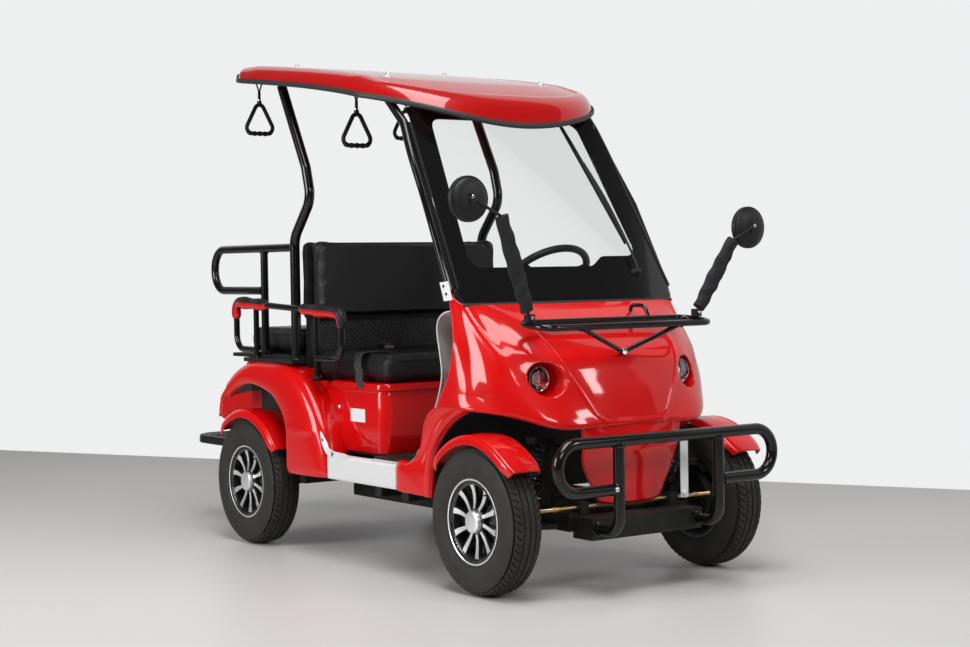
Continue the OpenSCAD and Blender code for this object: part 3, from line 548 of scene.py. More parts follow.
# Cowl legs. The shell's side panels run on down behind the front wheels to the sill: narrow at the top,
# spread out to a foot, and hollowed a little between the wheel edge and the door edge.
leg_front = np.array([[70, 600], [125, 579], [182, 548], [230, 508], [262, 470], [279, 425], [285, 370],
                      [287, 301], [289, 300.5]]) / 1000
leg_back = np.array([[228, 600], [284, 580], [316, 545], [331, 495], [346, 448], [385, 408], [440, 394],
                     [495, 388], [495.5, 301]]) / 1000
s, t = np.r_[np.linspace(0, 7, 71), np.linspace(7.1, 8, 10)], np.linspace(0, 1, 31)
a, b = spline(leg_front, s), spline(leg_back, s)
flat = a[:, None] * (1 - t[None, :, None]) + b[:, None] * t[None, :, None]
hollow = 0.5026 - 0.010 * np.sin(np.pi * t) ** 2 * np.sin(np.pi * np.clip(s[:, None] / 6, 0, 1)) ** 0.8
hollow = hollow - 0.012 * (np.abs(2 * t - 1) ** 8) + 0.010 * np.clip((s[:, None] - 3.5) / 3.5, 0, 1) * (1 - t)
leg = np.concatenate([hollow[..., None], flat + [front_axle, 0]], axis=2)
rolls = [tube(leg[:, k] + [-0.006, 0, 0], 0.0085, (1, 0, 0), n=16) for k in (0, -1)]
rolls.append(tube(leg[-1] + [-0.006, 0, 0.002], 0.0075, (1, 0, 0), n=14))
piece("cowl_leg_panels", pair(sheet(leg, 0.006, 0, True) + rolls), [red], ("cowl_legs",))

# Dash. A grey moulded panel closes the front of the cabin behind the shell, and its edge shows past the
# door edge of the shell. It has a shelf, a switch panel beside the steering column and a glove tray.
grey = Finish("grey_plastic", {"Base Color": rgb(0.62, 0.63, 0.615), "Roughness": 0.55})
grey.wire(grey.surface, {"Base Color": grey.blend(grey.noise(6.0, 3.0), rgb(0.59, 0.60, 0.585),
                                                  rgb(0.66, 0.67, 0.655)),
                         "Roughness": grey.noise(90.0, 2.0) * 0.2 + 0.42})
grey.bump(grey.noise(900.0, 2.0), 0.0003, 0.5)
dash_line = np.array([[160, 926], [270, 918], [318, 892], [330, 848], [314, 770], [306, 700], [332, 620],
                      [392, 516],
                      [452, 414], [470, 401]]) / 1000 + [front_axle, 0]
w = spline(dash_line, np.linspace(0, 9, 73))
x = np.linspace(-1, 1, 61)
fade = np.clip((1 - np.abs(x)) / 0.04, 0, 1)
rounded = 0.012 * (1 - fade) ** 2
dash = np.stack([np.broadcast_to(x * 0.444, (73, 61)), w[:, :1] - rounded,
                 np.broadcast_to(w[:, 1:], (73, 61))], -1)
tray = (np.exp(-(((dash[..., 0] + 0.16) / 0.17) ** 8)) * np.exp(-(((dash[..., 2] - 0.79) / 0.055) ** 8)))
dash[..., 1] -= 0.030 * tray
piece("dash", [grid(dash, 0, True)], [grey], ("dash_panel",), turn=False, wall=0.005)
# A black sheet just in front of the lower dash is painted shade: it darkens the dash where it shows inside the front
# wheel openings.
piece("dash_shade_sheet", [grid(dash[40:, 2:-2] - [0, 0.0068, 0])], [moulded], turn=False)
piece("dash_switches", [
    block((0.165, -0.700, 0.912), (0.305, -0.640, 0.926), 0),
    *[block((x0, -0.686, 0.926), (x0 + 0.018, -0.654, 0.932), 1) for x0 in (0.182, 0.212, 0.242, 0.272)],
    lathe([(0, 0.013), (0.010, 0.013), (0.012, 0.010), (0.012, 0)], (0.10, -0.668, 0.918), (0, 0, 1), 32, 2)],
      [moulded, gloss, bright], bevel=0.0015)


# Roof. One pressed red shell on two black rails: a broad raised rim runs round it, the middle panel is let
# in a little below the rim, and a black rubber moulding covers the lower edge. Cap nuts hold it to the rails.
roof_half, roof_front, roof_back, roof_corner = 0.507, front_axle + 0.390, rear_axle + 0.198, 0.200


def roof_edge(x):
    """Where the roof starts and ends at x: the nose is a high-order curve and the rear corners are quarter circles."""
    nose = roof_front + 0.290 * (np.abs(x) / roof_half) ** 3.7
    c = np.maximum(0, np.abs(x) - roof_half + roof_corner)
    return nose, roof_back - roof_corner + np.sqrt(np.maximum(roof_corner**2 - c**2, 0))


def edge_height(y):
    """Height of the roof's lower edge at y, a root curve that rises from the nose."""
    return 1.559 + 0.289 * (np.maximum(y - roof_front, 0) / 1.600) ** 0.535


turn_at = np.linspace(-1, 1, 141)
round_u = np.sign(turn_at) * (1 - (1 - np.abs(turn_at)) ** 1.7)
round_v = 0.5 * (1 + np.sign(turn_at) * (1 - (1 - np.abs(turn_at)) ** 1.9))
U, V = np.meshgrid(round_u, round_v, indexing="ij")
x = roof_half * U
y0, y1 = roof_edge(x)
y = y0 + (y1 - y0) * V
# Distance in from the edge, across or along the roof, whichever is nearer
inset = np.minimum.reduce([roof_half - np.abs(x), (y - y0) * 0.92, y1 - y])
brim = 0.040 * (1 - np.exp(-np.maximum(inset, 0) / 0.020))
crown = (0.030 - 0.006 * V) * np.sqrt(np.clip(1 - U**4, 0, 1)) * np.clip(0.12 + 5 * V, 0,
                                                                         1) * np.clip(0.2 + 6 * (1 - V), 0, 1)
step = 1 / (1 + np.exp((inset - 0.082) / 0.0035))
z = edge_height(y) + brim + crown * (1 - 0.1 * step) + 0.010 * step * (1 - np.exp(-np.maximum(inset, 0) / 0.03))
roof_top = np.stack([x, y, z], -1)
# The roof takes a darker copy of the body's red: painted shade for the roof's shaded front.
roof_shaded_red = Finish("roof_shaded_red", {"Base Color": rgb(0.36, 0.001, 0.001), "Roughness": 0.36, "Coat Weight": 1.0,
                              "Coat Roughness": 0.035, "Specular IOR Level": 0.15})
roof_shaded_red.rough(9.0, 4.0, 0.10, 0.32)
roof_shaded_red.bump(roof_shaded_red.noise(260.0, 2.0), 0.0004, 0.08)
piece("roof_shell", [grid(roof_top)], [roof_shaded_red], ("roof",), turn=False, wall=0.007, sharp=50)
rim = np.concatenate([roof_top[:-1, 0], roof_top[-1, :-1], roof_top[:0:-1, -1], roof_top[0, :0:-1]])
rim = rim[np.r_[True, np.linalg.norm(np.diff(rim, axis=0), axis=1) > 0.004]]
rubber = Finish("roof_moulding", {"Base Color": rgb(0.02, 0.02, 0.02), "Roughness": 0.5})
rubber.rough(120.0, 3.0, 0.2, 0.42)
away = unit((rim - rim.mean(0)) * [1, 1, 0])
bulge = np.array([[0.0045, 0.010], [0.007, 0.006], [0.008, 0.0], [0.007, -0.006], [0.004, -0.009],
                  [-0.002, -0.010],
                  [-0.007, -0.009], [-0.008, -0.005], [-0.004, -0.003], [0.000, 0.001], [0.0025, 0.006],
                  [0.0045, 0.010]])
lap = rim[:, None] + bulge[None, :, :1] * away[:, None] + bulge[None, :, 1:] * [0, 0, 1]
piece("roof_moulding", [grid(np.concatenate([lap, lap[:1]]))], [rubber])


def roof_height(x, y):
    """Height of the roof's outer face straight above (x, y)."""
    k = np.argmin((roof_top[..., 0] - x) ** 2 + (roof_top[..., 1] - y) ** 2)
    return float(roof_top[..., 2].ravel()[k])


caps = []
cap_rows = (front_axle + 0.750, rear_axle - 0.135)
for cap_y in cap_rows:
    for cap_x in (-0.345, 0.345):
        h = roof_height(cap_x, cap_y) - 0.001
        caps += [lathe([(0, 0.013), (0.0015, 0.013), (0.002, 0.0105), (0.0025, 0)], (cap_x, cap_y, h),
                       (0, 0, 1), 32, 0),
                 lathe([(0.001, 0.0078), (0.009, 0.0078), (0.013, 0.006), (0.015, 0.003), (0.0155, 0)],
                       (cap_x, cap_y, h), (0, 0, 1), 24, 0)]
piece("roof_cap_nuts", caps, [bright])

# Roof rails and pillars. Bent steel tubes in gloss black: each front pillar rises behind the edge of the
# windscreen, turns back under the roof and runs to its rear; each rear pillar steps forward round the seat.
rail_x, tube_r, rake = 0.432, 0.016, math.radians(59.6)
screen_foot = np.array([0, front_axle + 0.144, 0.943])
screen_up = np.array([0, math.cos(rake), math.sin(rake)])
screen_out = np.array([0, -math.sin(rake), math.cos(rake)])


def on_screen(x, s, off=0.0):
    """A point of the windscreen: x across it, s up its slope and off in front of its rear face."""
    x, s, off = np.broadcast_arrays(x, s, off)
    return x[..., None] * [1, 0, 0] + screen_foot + s[..., None] * screen_up + off[..., None] * screen_out


def rail_z(y):
    """Height of the middle of a roof rail, which lies inside the roof's rim."""
    return float(edge_height(np.array(y))) + 0.014


rail_end = rear_axle + 0.172
stops = [front_axle + 0.64, front_axle + 0.90, front_axle + 1.20, rear_axle - 0.06, rail_end]
rail = np.array([(rail_x, y, rail_z(y)) for y in stops])
behind = [on_screen(x, s, -0.0163) for x, s in ((0.470, 0.057), (0.445, 0.400), (0.436, 0.600),
                                                (0.422, 0.735))]
bend = route([behind[2], behind[3], rail[0], rail[1]], 0.10, 10)
knots = np.concatenate([[behind[0], behind[1]], bend[:-1], rail[1:]])
side_run = spline(knots, np.linspace(0, len(knots) - 1, 140))
x0, y0 = 0.436, rear_axle - 0.250
top_y = rear_axle - 0.172
rear_post = route([(x0, y0, 0.7376), (x0, y0, 1.185), (x0, rear_axle - 0.378, 1.330),
                   (x0, rear_axle - 0.345, 1.450), (x0, top_y, rail_z(top_y) - tube_r - 0.010)], 0.085, 12)
clamp_at = on_screen(0.470, 0.045, -0.0163)
piece("front_pillars", pair([
    tube(side_run, tube_r, (1, 0, 0), n=24),
    # Flange that the glass is bonded to
    grid(np.stack([on_screen(np.array([0.429, 0.472]), s, -0.0015) for s in (0.06, 0.40)]
                  + [on_screen(np.array([0.382, 0.424]), 0.730, -0.0015)]))]),
      [gloss], ("a_pillars",), turn=False)
piece("pillar_feet", [
    mirrored(plate(np.array([[-0.028, -0.006], [0.018, -0.010], [0.042, 0.052], [-0.004, 0.056]])
                   + [clamp_at[1] + 0.002, clamp_at[2] - 0.010], clamp_at[0] + 0.0165, clamp_at[0] + 0.021, 0,
                   0)),
    plate(np.array([[0.000, -0.006], [0.026, -0.008], [0.050, 0.034], [0.024, 0.036]])
          + [clamp_at[1], clamp_at[2] - 0.010], clamp_at[0] + 0.0160, clamp_at[0] + 0.0195, 0, 0)]
      + [mirrored(lathe([(0, 0.0055), (0.003, 0.0055), (0.004, 0.004), (0.004, 0)],
                        (clamp_at[0] + 0.0205, clamp_at[1] + 0.002 + dz * 0.587, clamp_at[2] + dz), (1, 0, 0),
                        6, 1)) for dz in (0.004, 0.030)]
      + [lathe([(0, 0.005), (0.002, 0.005), (0.003, 0.004), (0.003, 0)],
               (clamp_at[0] + 0.0190, clamp_at[1] + 0.019 + dz * 0.587, clamp_at[2] + dz), (1, 0, 0), 6,
               1) for dz in (0.002, 0.014)],
      [Finish("white_bracket", {"Base Color": rgb(0.80, 0.80, 0.79), "Roughness": 0.4}), steel],
      bevel=0.0012)
piece("rear_pillars", pair([
    tube(rear_post, 0.019, (1, 0, 0), n=24),
    # Foot plate on the seat frame and the tab that is bolted to the rail
    plate(np.array([[-0.03, 0], [0.03, 0], [0.03, 0.004], [-0.03, 0.004]]) + [y0, 0.7376], x0 - 0.022,
          x0 + 0.022),
    plate(np.array([[-0.024, -0.030], [0.024, -0.030], [0.024, 0.0],
                    [-0.024, 0.0]]) + [top_y, rail_z(top_y) - tube_r],
          x0 - 0.004, x0 + 0.002)]), [gloss], ("c_pillars",), bevel=0.0)

piece("roof_bars", [tube(np.array([(x, y, rail_z(y)) for x in (-rail_x, 0, rail_x)]), 0.012, (0, 0, 1), n=20)
                    for y in (*cap_rows, rail_end - 0.020)]
      + [tube(np.array([(x, y, rail_z(y)), (x, y, rail_z(y) + 0.02), (x, y, roof_height(x, y) - 0.005)]),
              0.006, (1, 0, 0), n=16)
         for y in cap_rows for x in (-0.345, 0.345)], [gloss], ("roof_frame",))

# Windscreen. A raked sheet of clear glass in front of the pillars. A black band is printed inside its
# edge: narrow up the sides, wide along the foot with a step up in front of the driver, with round inner corners.
pane = Finish("screen_glass", {"Base Color": rgb(0.96, 0.98, 0.98), "Roughness": 0.0, "IOR": 1.45,
                               "Coat Weight": 0.0})
clear_sheet(pane, rgb(0.975, 0.985, 0.98), 0.02, 0.25, 0.18)
printed = Finish("printed_band", {"Base Color": rgb(0.004, 0.004, 0.004), "Roughness": 0.09,
                                  "Coat Weight": 0.5,
                                  "Coat Roughness": 0.02})
printed.rough(12.0, 3.0, 0.05, 0.07)
screen_low, screen_high, screen_l, screen_t = 0.453, 0.402, 0.790, 0.005


def screen_half(s):
    return screen_low + (screen_high - screen_low) * s / screen_l


x, s = np.meshgrid(np.linspace(-1, 1, 41), np.linspace(0, 1, 31), indexing="ij")
sheets = [on_screen(x * screen_half(s * screen_l), s * screen_l, off) for off in (screen_t, 0.0)]
loop = [(-1, 0), (1, 0), (1, 1), (-1, 1), (-1, 0)]
faces = [np.stack([on_screen(a * screen_half(b * screen_l), b * screen_l, off) for a,
                   b in loop]) for off in (screen_t, 0.0)]
piece("windscreen", [grid(sheets[0]), grid(sheets[1], 0, True), grid(np.stack(faces), 0, True)], [pane],
      ("windscreen",), turn=False)


def rounded_loop(points, radius, steps=6):
    """A closed outline with each corner turned into an arc."""
    p = np.asarray(points, float)
    bent = route(np.concatenate([[(p[0] + p[-1]) / 2], p, [(p[0] + p[-1]) / 2]]), radius, steps)
    return bent[:-1]


def resample(loop, n):
    """n points at equal distances round a closed outline."""
    q = np.concatenate([loop, loop[:1]])
    d = np.r_[0, np.cumsum(np.linalg.norm(np.diff(q, axis=0), axis=1))]
    at = np.linspace(0, d[-1], n, endpoint=False)
    return np.stack([np.interp(at, d, q[:, k]) for k in range(q.shape[1])], -1)


inner = [(-0.376, 0.136), (0.150, 0.136), (0.205, 0.176), (0.372, 0.176), (0.322, 0.745), (-0.322, 0.745)]
inner = [(x, s, 0.0) for x, s in inner]
window = rounded_loop(inner, 0.045, 8)[:, :2]
spokes = resample(window, 260)
hub = np.array([0.0, 0.42])
ray = unit(spokes - hub)
with np.errstate(divide="ignore"):
    reach = np.minimum.reduce([
        np.where(ray[:, 1] > 0, (screen_l + 0.0008 - hub[1]) / ray[:, 1], np.inf),
        np.where(ray[:, 1] < 0, (-0.0008 - hub[1]) / ray[:, 1], np.inf),
        (screen_half(hub[1]) + 0.0008) / np.maximum(np.abs(ray[:, 0]) - (screen_high - screen_low) / screen_l
                                                   * ray[:, 1], 1e-9)])
rings = [spokes + (hub + ray * reach[:, None] - spokes) * f for f in np.linspace(0, 1, 9)]
band = np.stack([on_screen(r[:, 0], r[:, 1], -0.0004) for r in rings])
band = np.concatenate([band, band[:, :1]], axis=1)
shifted = band + screen_out * (screen_t + 0.0008)
piece("screen_band", [grid(np.concatenate([band, shifted[::-1], band[:1]]))], [printed])
seal = on_screen(np.linspace(-screen_low, screen_low, 41), -0.005, 0.0005)
piece("screen_seal", [tube(seal, 0.0068, (0, 1, 0), n=16)], [rubber])

# Wiper. A motor boss at the foot of the glass on the driver's side, an arm that swings from it and a
# rubber blade held by a slim bridge.
arm = spline(np.stack([on_screen(*place) for place in ((0.334, 0.105, 0.022), (0.330, 0.20, 0.026),
                                                      (0.305, 0.40, 0.028), (0.273, 0.56, 0.024))]),
             np.linspace(0, 3, 25))
lane = np.linspace(0, 1, 41)
blade_x, blade_s = 0.333 + (0.242 - 0.333) * lane, 0.222 + (0.728 - 0.222) * lane
blade = on_screen(blade_x, blade_s, 0.016 + 0.004 * np.sin(lane * np.pi))
edge = on_screen(blade_x, blade_s, 0.009)
swell = 0.0062 * (0.45 + 0.55 * np.sin(lane * np.pi) ** 0.4)
piece("wiper", [
    lathe([(0.0056, 0), (0.0056, 0.019), (0.012, 0.018), (0.020, 0.013), (0.026, 0.011), (0.028, 0.008),
           (0.028, 0)],
          on_screen(0.334, 0.105, 0.0), screen_out, 40),
    tube(arm, 0.0052 - 0.0016 * np.linspace(0, 1, 25), (1, 0, 0), n=12),
    tube(blade, swell, (1, 0, 0), n=10), tube(edge, 0.0032, (1, 0, 0), n=8)], [moulded],
      ("wiper",))

# Mirrors. A round head on a thin rod, held on the rack by a clamp. A black fabric sleeve is pulled
# over the lower part of each rod and hangs in small creases.
cloth = Finish("sleeve_cloth", {"Base Color": rgb(0.018, 0.018, 0.02), "Roughness": 0.8,
                                "Specular IOR Level": 0.2})
weave = cloth.node("TexWave", {"bands_direction": "DIAGONAL"}, {"Scale": 380.0, "Vector": cloth.place()})
cloth.wire(cloth.surface, {"Base Color": cloth.blend(cloth.noise(30.0, 4.0), rgb(0.012, 0.012, 0.014),
                                                     rgb(0.034, 0.034, 0.037)),
                           "Roughness": weave * 0.1 + 0.72})
cloth.bump(weave * 0.4 + cloth.noise(90.0, 4.0), 0.0008, 0.5)
mirror_glass = Finish("mirror_glass", {"Base Color": rgb(0.86, 0.88, 0.89), "Roughness": 0.02,
                                       "Metallic": 1.0})
mirror_glass.rough(20.0, 3.0, 0.02, 0.01)
for side, sign, knee, head_z in (("left", 1, (0.520, 1.146), 1.190), ("right", -1, (0.478, 1.226), 1.280)):
    foot = np.array([sign * 0.360, front_axle - 0.097, 0.896])
    elbow = np.array([sign * knee[0], front_axle - 0.112, knee[1]])
    head = np.array([sign * 0.600, front_axle - 0.130, head_z])
    rod = route([foot, elbow, head, head + [0, 0.016, 0]], 0.02, 8)
    t = np.linspace(0, 1, 61)[:, None]
    along = foot + (elbow - foot) * (0.07 + 0.93 * t)
    a = np.linspace(0, 2 * np.pi, 49)
    crease = (np.sin(9 * t * np.pi + 2 * np.cos(a)) * 0.0012 + np.sin(31 * t + 3 * np.sin(a + 5 * t)) * 0.0007)
    width, depth = 0.0270 - 0.003 * np.cos(t * 2 * np.pi), 0.0160 + 0.002 * np.sin(t * 7)
    w = unit(elbow - foot)
    across = unit(np.cross(w, [0, 1, 0]))
    sleeve = (along[:, None] + ((width + crease) * np.cos(a))[..., None] * across
              + ((depth + crease) * np.sin(a))[..., None] * np.array([0, 1, 0]))
    sleeve = np.concatenate([np.broadcast_to(along[:1, None],
                                             sleeve[:1].shape) + (sleeve[:1] - along[:1, None]) * f
                             for f in (0.0, 0.45, 0.9)] + [sleeve]
                            + [along[-1:, None] + (sleeve[-1:] - along[-1:,
                                                                       None]) * f for f in (0.9, 0.5, 0.0)])
    piece(f"mirror_sleeve_{side}", [grid(sleeve)], [cloth])
    piece(f"mirror_{side}", [
        tube(rod, 0.0052, (0, 1, 0.02), n=16),
        block(foot + [-0.014, -0.012, -0.012], foot + [0.014, 0.012, 0.014]),
        lathe([(0.012, 0.0065), (0.018, 0.0065), (0.020, 0.004), (0.020, 0)], foot + [0, 0, 0.002],
              (0, -1, 0), 24, 1),
        lathe([(0.003, 0), (0.003, 0.020), (0.005, 0.040), (0.0085, 0.055), (0.013, 0.0635), (0.0165, 0.0655),
               (0.0175, 0.0668),
               (0.0168, 0.0695), (0.0180, 0.0722), (0.021, 0.0735), (0.032, 0.0735), (0.0335, 0.071),
               (0.0320, 0.069)],
              head, (0, 1, 0), 96, 0),
        block(head + [-0.009, -0.0035, -0.020], head + [0.009, 0.0045, 0.016]),
        lathe([(0.001, 0.0062), (0.0045, 0.0062), (0.0065, 0.004), (0.0065, 0)],
              head + [sign * 0.003, -0.003, 0.006],
              (0, -1, 0), 20, 1),
        lathe([(0.0322, 0.0695), (0.0322, 0.035), (0.0322, 0)], head, (0, 1, 0), 96, 2),
        lathe([(-0.004, 0), (-0.004, 0.009), (0.002, 0.012), (0.006, 0.013)], head, (0, 1, 0), 32, 0)],
          [moulded, bright, mirror_glass], (f"mirror_{side}",), bevel=0.0)


# Wheels. Ten-inch cast rims with ten slim curved spokes: the faces of the spokes and lip are machined
# bright and the pockets behind them are black. A domed bright cap closes the hub.
wheel_r, track_half = 0.243, 0.477
machined = Finish("machined_alloy", {"Base Color": rgb(0.86, 0.86, 0.87), "Roughness": 0.3, "Metallic": 0.82})
rings_at = machined.node("TexWave", {"wave_type": "RINGS", "rings_direction": "X"},
                         {"Vector": machined.place(), "Scale": 300.0})
machined.rough(24.0, 3.0, 0.16, 0.25)
machined.bump(rings_at, 0.0001, 0.15)
pocket = Finish("pocket_black", {"Base Color": rgb(0.010, 0.010, 0.011), "Roughness": 0.25,
                                 "Coat Weight": 0.6})
pocket.rough(25.0, 3.0, 0.2, 0.18)
carcass = Finish("tyre_rubber", {"Base Color": rgb(0.012, 0.012, 0.012), "Roughness": 0.7,
                                 "Specular IOR Level": 0.3})
carcass.wire(carcass.surface, {
    "Base Color": carcass.blend(carcass.noise(14.0, 5.0), rgb(0.012, 0.012, 0.0115),
                                rgb(0.040, 0.038, 0.034)),
    "Roughness": carcass.noise(40.0, 4.0) * 0.25 + 0.50})
carcass.bump(carcass.noise(600.0, 2.0), 0.0003, 0.4)
sipes, per_sipe = 64, 8


def tyre_section():
    """Half a tyre's outer section as (distance from the middle plane, radius), from the crown to the bead."""
    knots = np.array([[0, 243.0], [18, 242.6], [34, 240.6], [46, 236.5], [54, 229], [59.5, 215], [62.3, 196],
                      [61.8, 178], [58.5, 160], [54, 150], [50, 145], [50, 138], [49, 130]]) / 1000
    return spline(knots, np.linspace(0, 12, 61))


def tyre_mesh(centre, sign):
    """The section turned about the axle: grooves run round the crown and sipes cross it at a slant."""
    half = tyre_section()
    tread = np.array([0, 0.8, 2.2, 3.0, 6, 10, 14, 18, 20.0, 20.8, 24.2, 25, 28, 31, 34, 37, 40, 43, 46, 48.5,
                      51.0, 53.2]) / 1000
    crown_r = np.interp(tread, half[:, 0], half[:, 1])
    groove = np.where((tread < 0.0025) | (np.abs(tread - 0.0225) < 0.002), 0.0055, 0.0)
    side = half[half[:, 1] < 0.2285]
    ridges = 0.0008 * ((np.abs(side[:, 1] - 0.212) < 0.0022) + (np.abs(side[:, 1] - 0.166) < 0.002)
                       + (np.abs(side[:, 1] - 0.152) < 0.0018))
    side = side + np.stack([ridges, 0 * ridges], -1)
    one = np.concatenate([np.stack([tread, crown_r - groove], -1), side])
    is_tread = np.r_[np.ones(len(tread)), np.zeros(len(side))]
    section = np.concatenate([one[:0:-1] * [-1, 1], one])
    is_tread = np.concatenate([is_tread[:0:-1], is_tread])
    n = sipes * per_sipe
    k = np.arange(n + 1)[:, None]
    a_mm = section[:, 0] * 1000
    slant = np.round(np.abs(a_mm) * 0.28 + np.where(a_mm > 0, 4, 0)).astype(int)
    phase = (k + slant) % per_sipe
    shoulder = (np.abs(a_mm) > 30)
    rib = (np.abs(a_mm) > 3) & (np.abs(a_mm) < 20)
    depth = np.where((phase < 2) & shoulder & (is_tread > 0), 0.0052, 0) \
        + np.where((phase == 0) & rib & ((k // per_sipe) % 2 == 0), 0.0036, 0)
    r = section[None, :, 1] - depth
    a = 2 * np.pi * k / n
    points = np.stack([centre[0] + sign * np.broadcast_to(section[:, 0], r.shape), centre[1] + r * np.cos(a),
                       centre[2] + r * np.sin(a)], -1)
    well = [(0.0490, 0.1290), (0.0440, 0.1285), (0.040, 0.138), (-0.040, 0.138), (-0.0440, 0.1285),
            (-0.0490, 0.1290)]
    return [grid(points), turned(well, centre, sign)]


def spoke(centre, sign, angle):
    """One spoke: a rounded section carried out from the hub, bending round the axle and widening at both ends."""
    t = np.linspace(0, 1, 17)
    r = 0.030 + 0.090 * t
    bend = angle + 0.26 * (t - t**2) + 0.10 * t
    width = 0.0058 + 0.0066 * t**1.5 + 0.0016 * (1 - t) ** 3
    top = 0.0435 - 0.006 * np.sin(np.pi * t) + 0.002 * t
    bottom = top - 0.018 + 0.006 * t
    section = np.array([[-1.15, 0], [-1.0, 0.86], [-0.80, 1.0], [0.80, 1.0], [1.0, 0.86], [1.15, 0],
                        [0, -0.1], [-1.15, 0]])
    off = width[:, None] * section[None, :, 0]
    height = bottom[:, None] + (top - bottom)[:, None] * section[None, :, 1]
    out, round_ = np.stack([np.cos(bend), np.sin(bend)], -1), np.stack([-np.sin(bend), np.cos(bend)], -1)
    plane = r[:, None, None] * out[:, None] + off[..., None] * round_[:, None]
    p = np.stack([centre[0] + sign * height, centre[1] + plane[..., 0], centre[2] + plane[..., 1]], -1)
    points, quads, flow, _ = grid(p)
    quads = np.array(quads).reshape(len(t) - 1, len(section) - 1, 4)
    face = quads[:, 2:3].reshape(-1, 4).tolist()
    rest = np.delete(quads, 2, axis=1).reshape(-1, 4).tolist()
    return (points, face, flow, 0), (points, rest, flow, 1)


def turned(profile, centre, sign, n=96, finish=0):
    """A profile turned about a wheel's axle; sign is 1 on the left of the cart and -1 on the right."""
    return lathe([(sign * a, r) for a, r in profile], centre, (1, 0, 0), n, finish)


# Bright lip, barrel, web behind the spokes, hub and cap
rim_profiles = [
    ([(0.0495, 0.1283), (0.0500, 0.1405), (0.0520, 0.1412), (0.0540, 0.1405), (0.0545, 0.138),
      (0.0530, 0.134)], 96, 0),
    ([(0.0530, 0.134), (0.0500, 0.130), (0.0470, 0.1265), (0.0455, 0.1235), (0.0450, 0.1205),
      (0.0430, 0.1190),
      (0.0300, 0.1175), (0.0, 0.1160), (-0.048, 0.1165), (-0.054, 0.132), (-0.054, 0.1405), (-0.050, 0.1405),
      (-0.0495, 0.1283), (0.0495, 0.1283)], 96, 1),
    ([(0.022, 0.046), (0.020, 0.060), (0.016, 0.090), (0.014, 0.1172), (0.008, 0.1172), (0.008, 0.046)], 96,
     1),
    ([(0.044, 0), (0.044, 0.0405), (0.040, 0.043), (0.020, 0.048), (-0.015, 0.048), (-0.015, 0.0128),
      (-0.014, 0)],
     64, 1),
    ([(0.044, 0.0372), (0.0540, 0.0368), (0.0570, 0.0350), (0.0588, 0.0310), (0.0598, 0.0240),
      (0.0604, 0.0100),
      (0.0605, 0)], 64, 0)]
valve_turn, spokes_per_wheel = 2.2, 10
for end, y in (("front", front_axle), ("rear", rear_axle)):
    for side, sign in (("left", 1), ("right", -1)):
        centre = np.array([sign * track_half, y, wheel_r])
        body = f"wheel_{end}_{side}"
        piece(f"tyre_{end}_{side}", tyre_mesh(centre, sign), [carcass], (f"tyre_{end}_{side}",), body,
              sharp=28)
        parts = [turned(profile, centre, sign, n, finish) for profile, n, finish in rim_profiles]
        for k in range(spokes_per_wheel):
            parts += spoke(centre, sign, 2 * math.pi * k / spokes_per_wheel + 0.12)
        # Air valve in the lip
        valve_at = centre + [0, 0.1130 * math.cos(valve_turn), 0.1130 * math.sin(valve_turn)]
        parts.append(turned([(0.030, 0.003), (0.052, 0.003), (0.054, 0.0022), (0.054, 0)], valve_at, sign, 12,
                            1))
        piece(f"rim_{end}_{side}", parts, [machined, pocket], (f"rim_{end}_{side}",), body, sharp=30)
        drum = turned([(-0.020, 0), (-0.020, 0.085), (-0.026, 0.092), (-0.060, 0.092), (-0.066, 0.086),
                       (-0.066, 0.02),
                       (-0.066, 0)], centre, sign, 64)
        piece(f"brake_drum_{end}_{side}", [drum], [steel], (),
              f"knuckle_{side}" if end == "front" else "cart")

# Mudguards. A crowned red blade follows each tyre over its top, with a turned-down skirt and a rolled edge on
# both sides; its ends are rounded off. The front ones steer with the wheels, on a stay from the knuckle.
guard_r, guard_w = wheel_r + 0.012 + 0.014, 0.125 + 0.008
blade_line = np.array([[-1.0, -0.016], [-0.985, -0.010], [-0.95, -0.003], [-0.86, 0.0015], [-0.6, 0.0045],
                       [0, 0.0065],
                       [0.55, 0.0045], [0.76, 0.0030], [0.80, 0.0044], [0.88, 0.0030], [0.955, -0.003],
                       [0.99, -0.012],
                       [1.0, -0.022]])


def guard_mesh(centre, sign, start, stop, flare):
    """The blade's section swept round the axle; near each end it narrows on a quarter circle and lifts by flare."""
    a = np.radians(np.linspace(start, stop, 81))
    section = spline(blade_line, np.linspace(0, 12, 61))
    run = np.linspace(0, 1, 81)
    from_end = np.minimum(run, 1 - run) * (a[-1] - a[0]) * guard_r
    narrow = 1 - 0.16 * (1 - np.clip(from_end / 0.050, 0, 1)) ** 2
    lift = flare * np.clip(1 - (1 - run) * (a[-1] - a[0]) * guard_r / 0.10, 0, 1) ** 2
    r = guard_r + 0.0055 + section[None, :, 1] + lift[:, None]
    x = centre[0] + sign * section[None, :, 0] * narrow[:, None] * guard_w / 2
    p = np.stack([x, centre[1] + r * np.cos(a)[:, None], centre[2] + r * np.sin(a)[:, None]], -1)
    outline = np.concatenate([p[:, 0], p[-1, 1:], p[-2::-1, -1], p[0, -2:0:-1]])
    return sheet(p, 0.003, 0, sign > 0) + [tube(outline, 0.0028, (outline - centre) * [0, 1, 1], closed=True,
                                                n=10)]


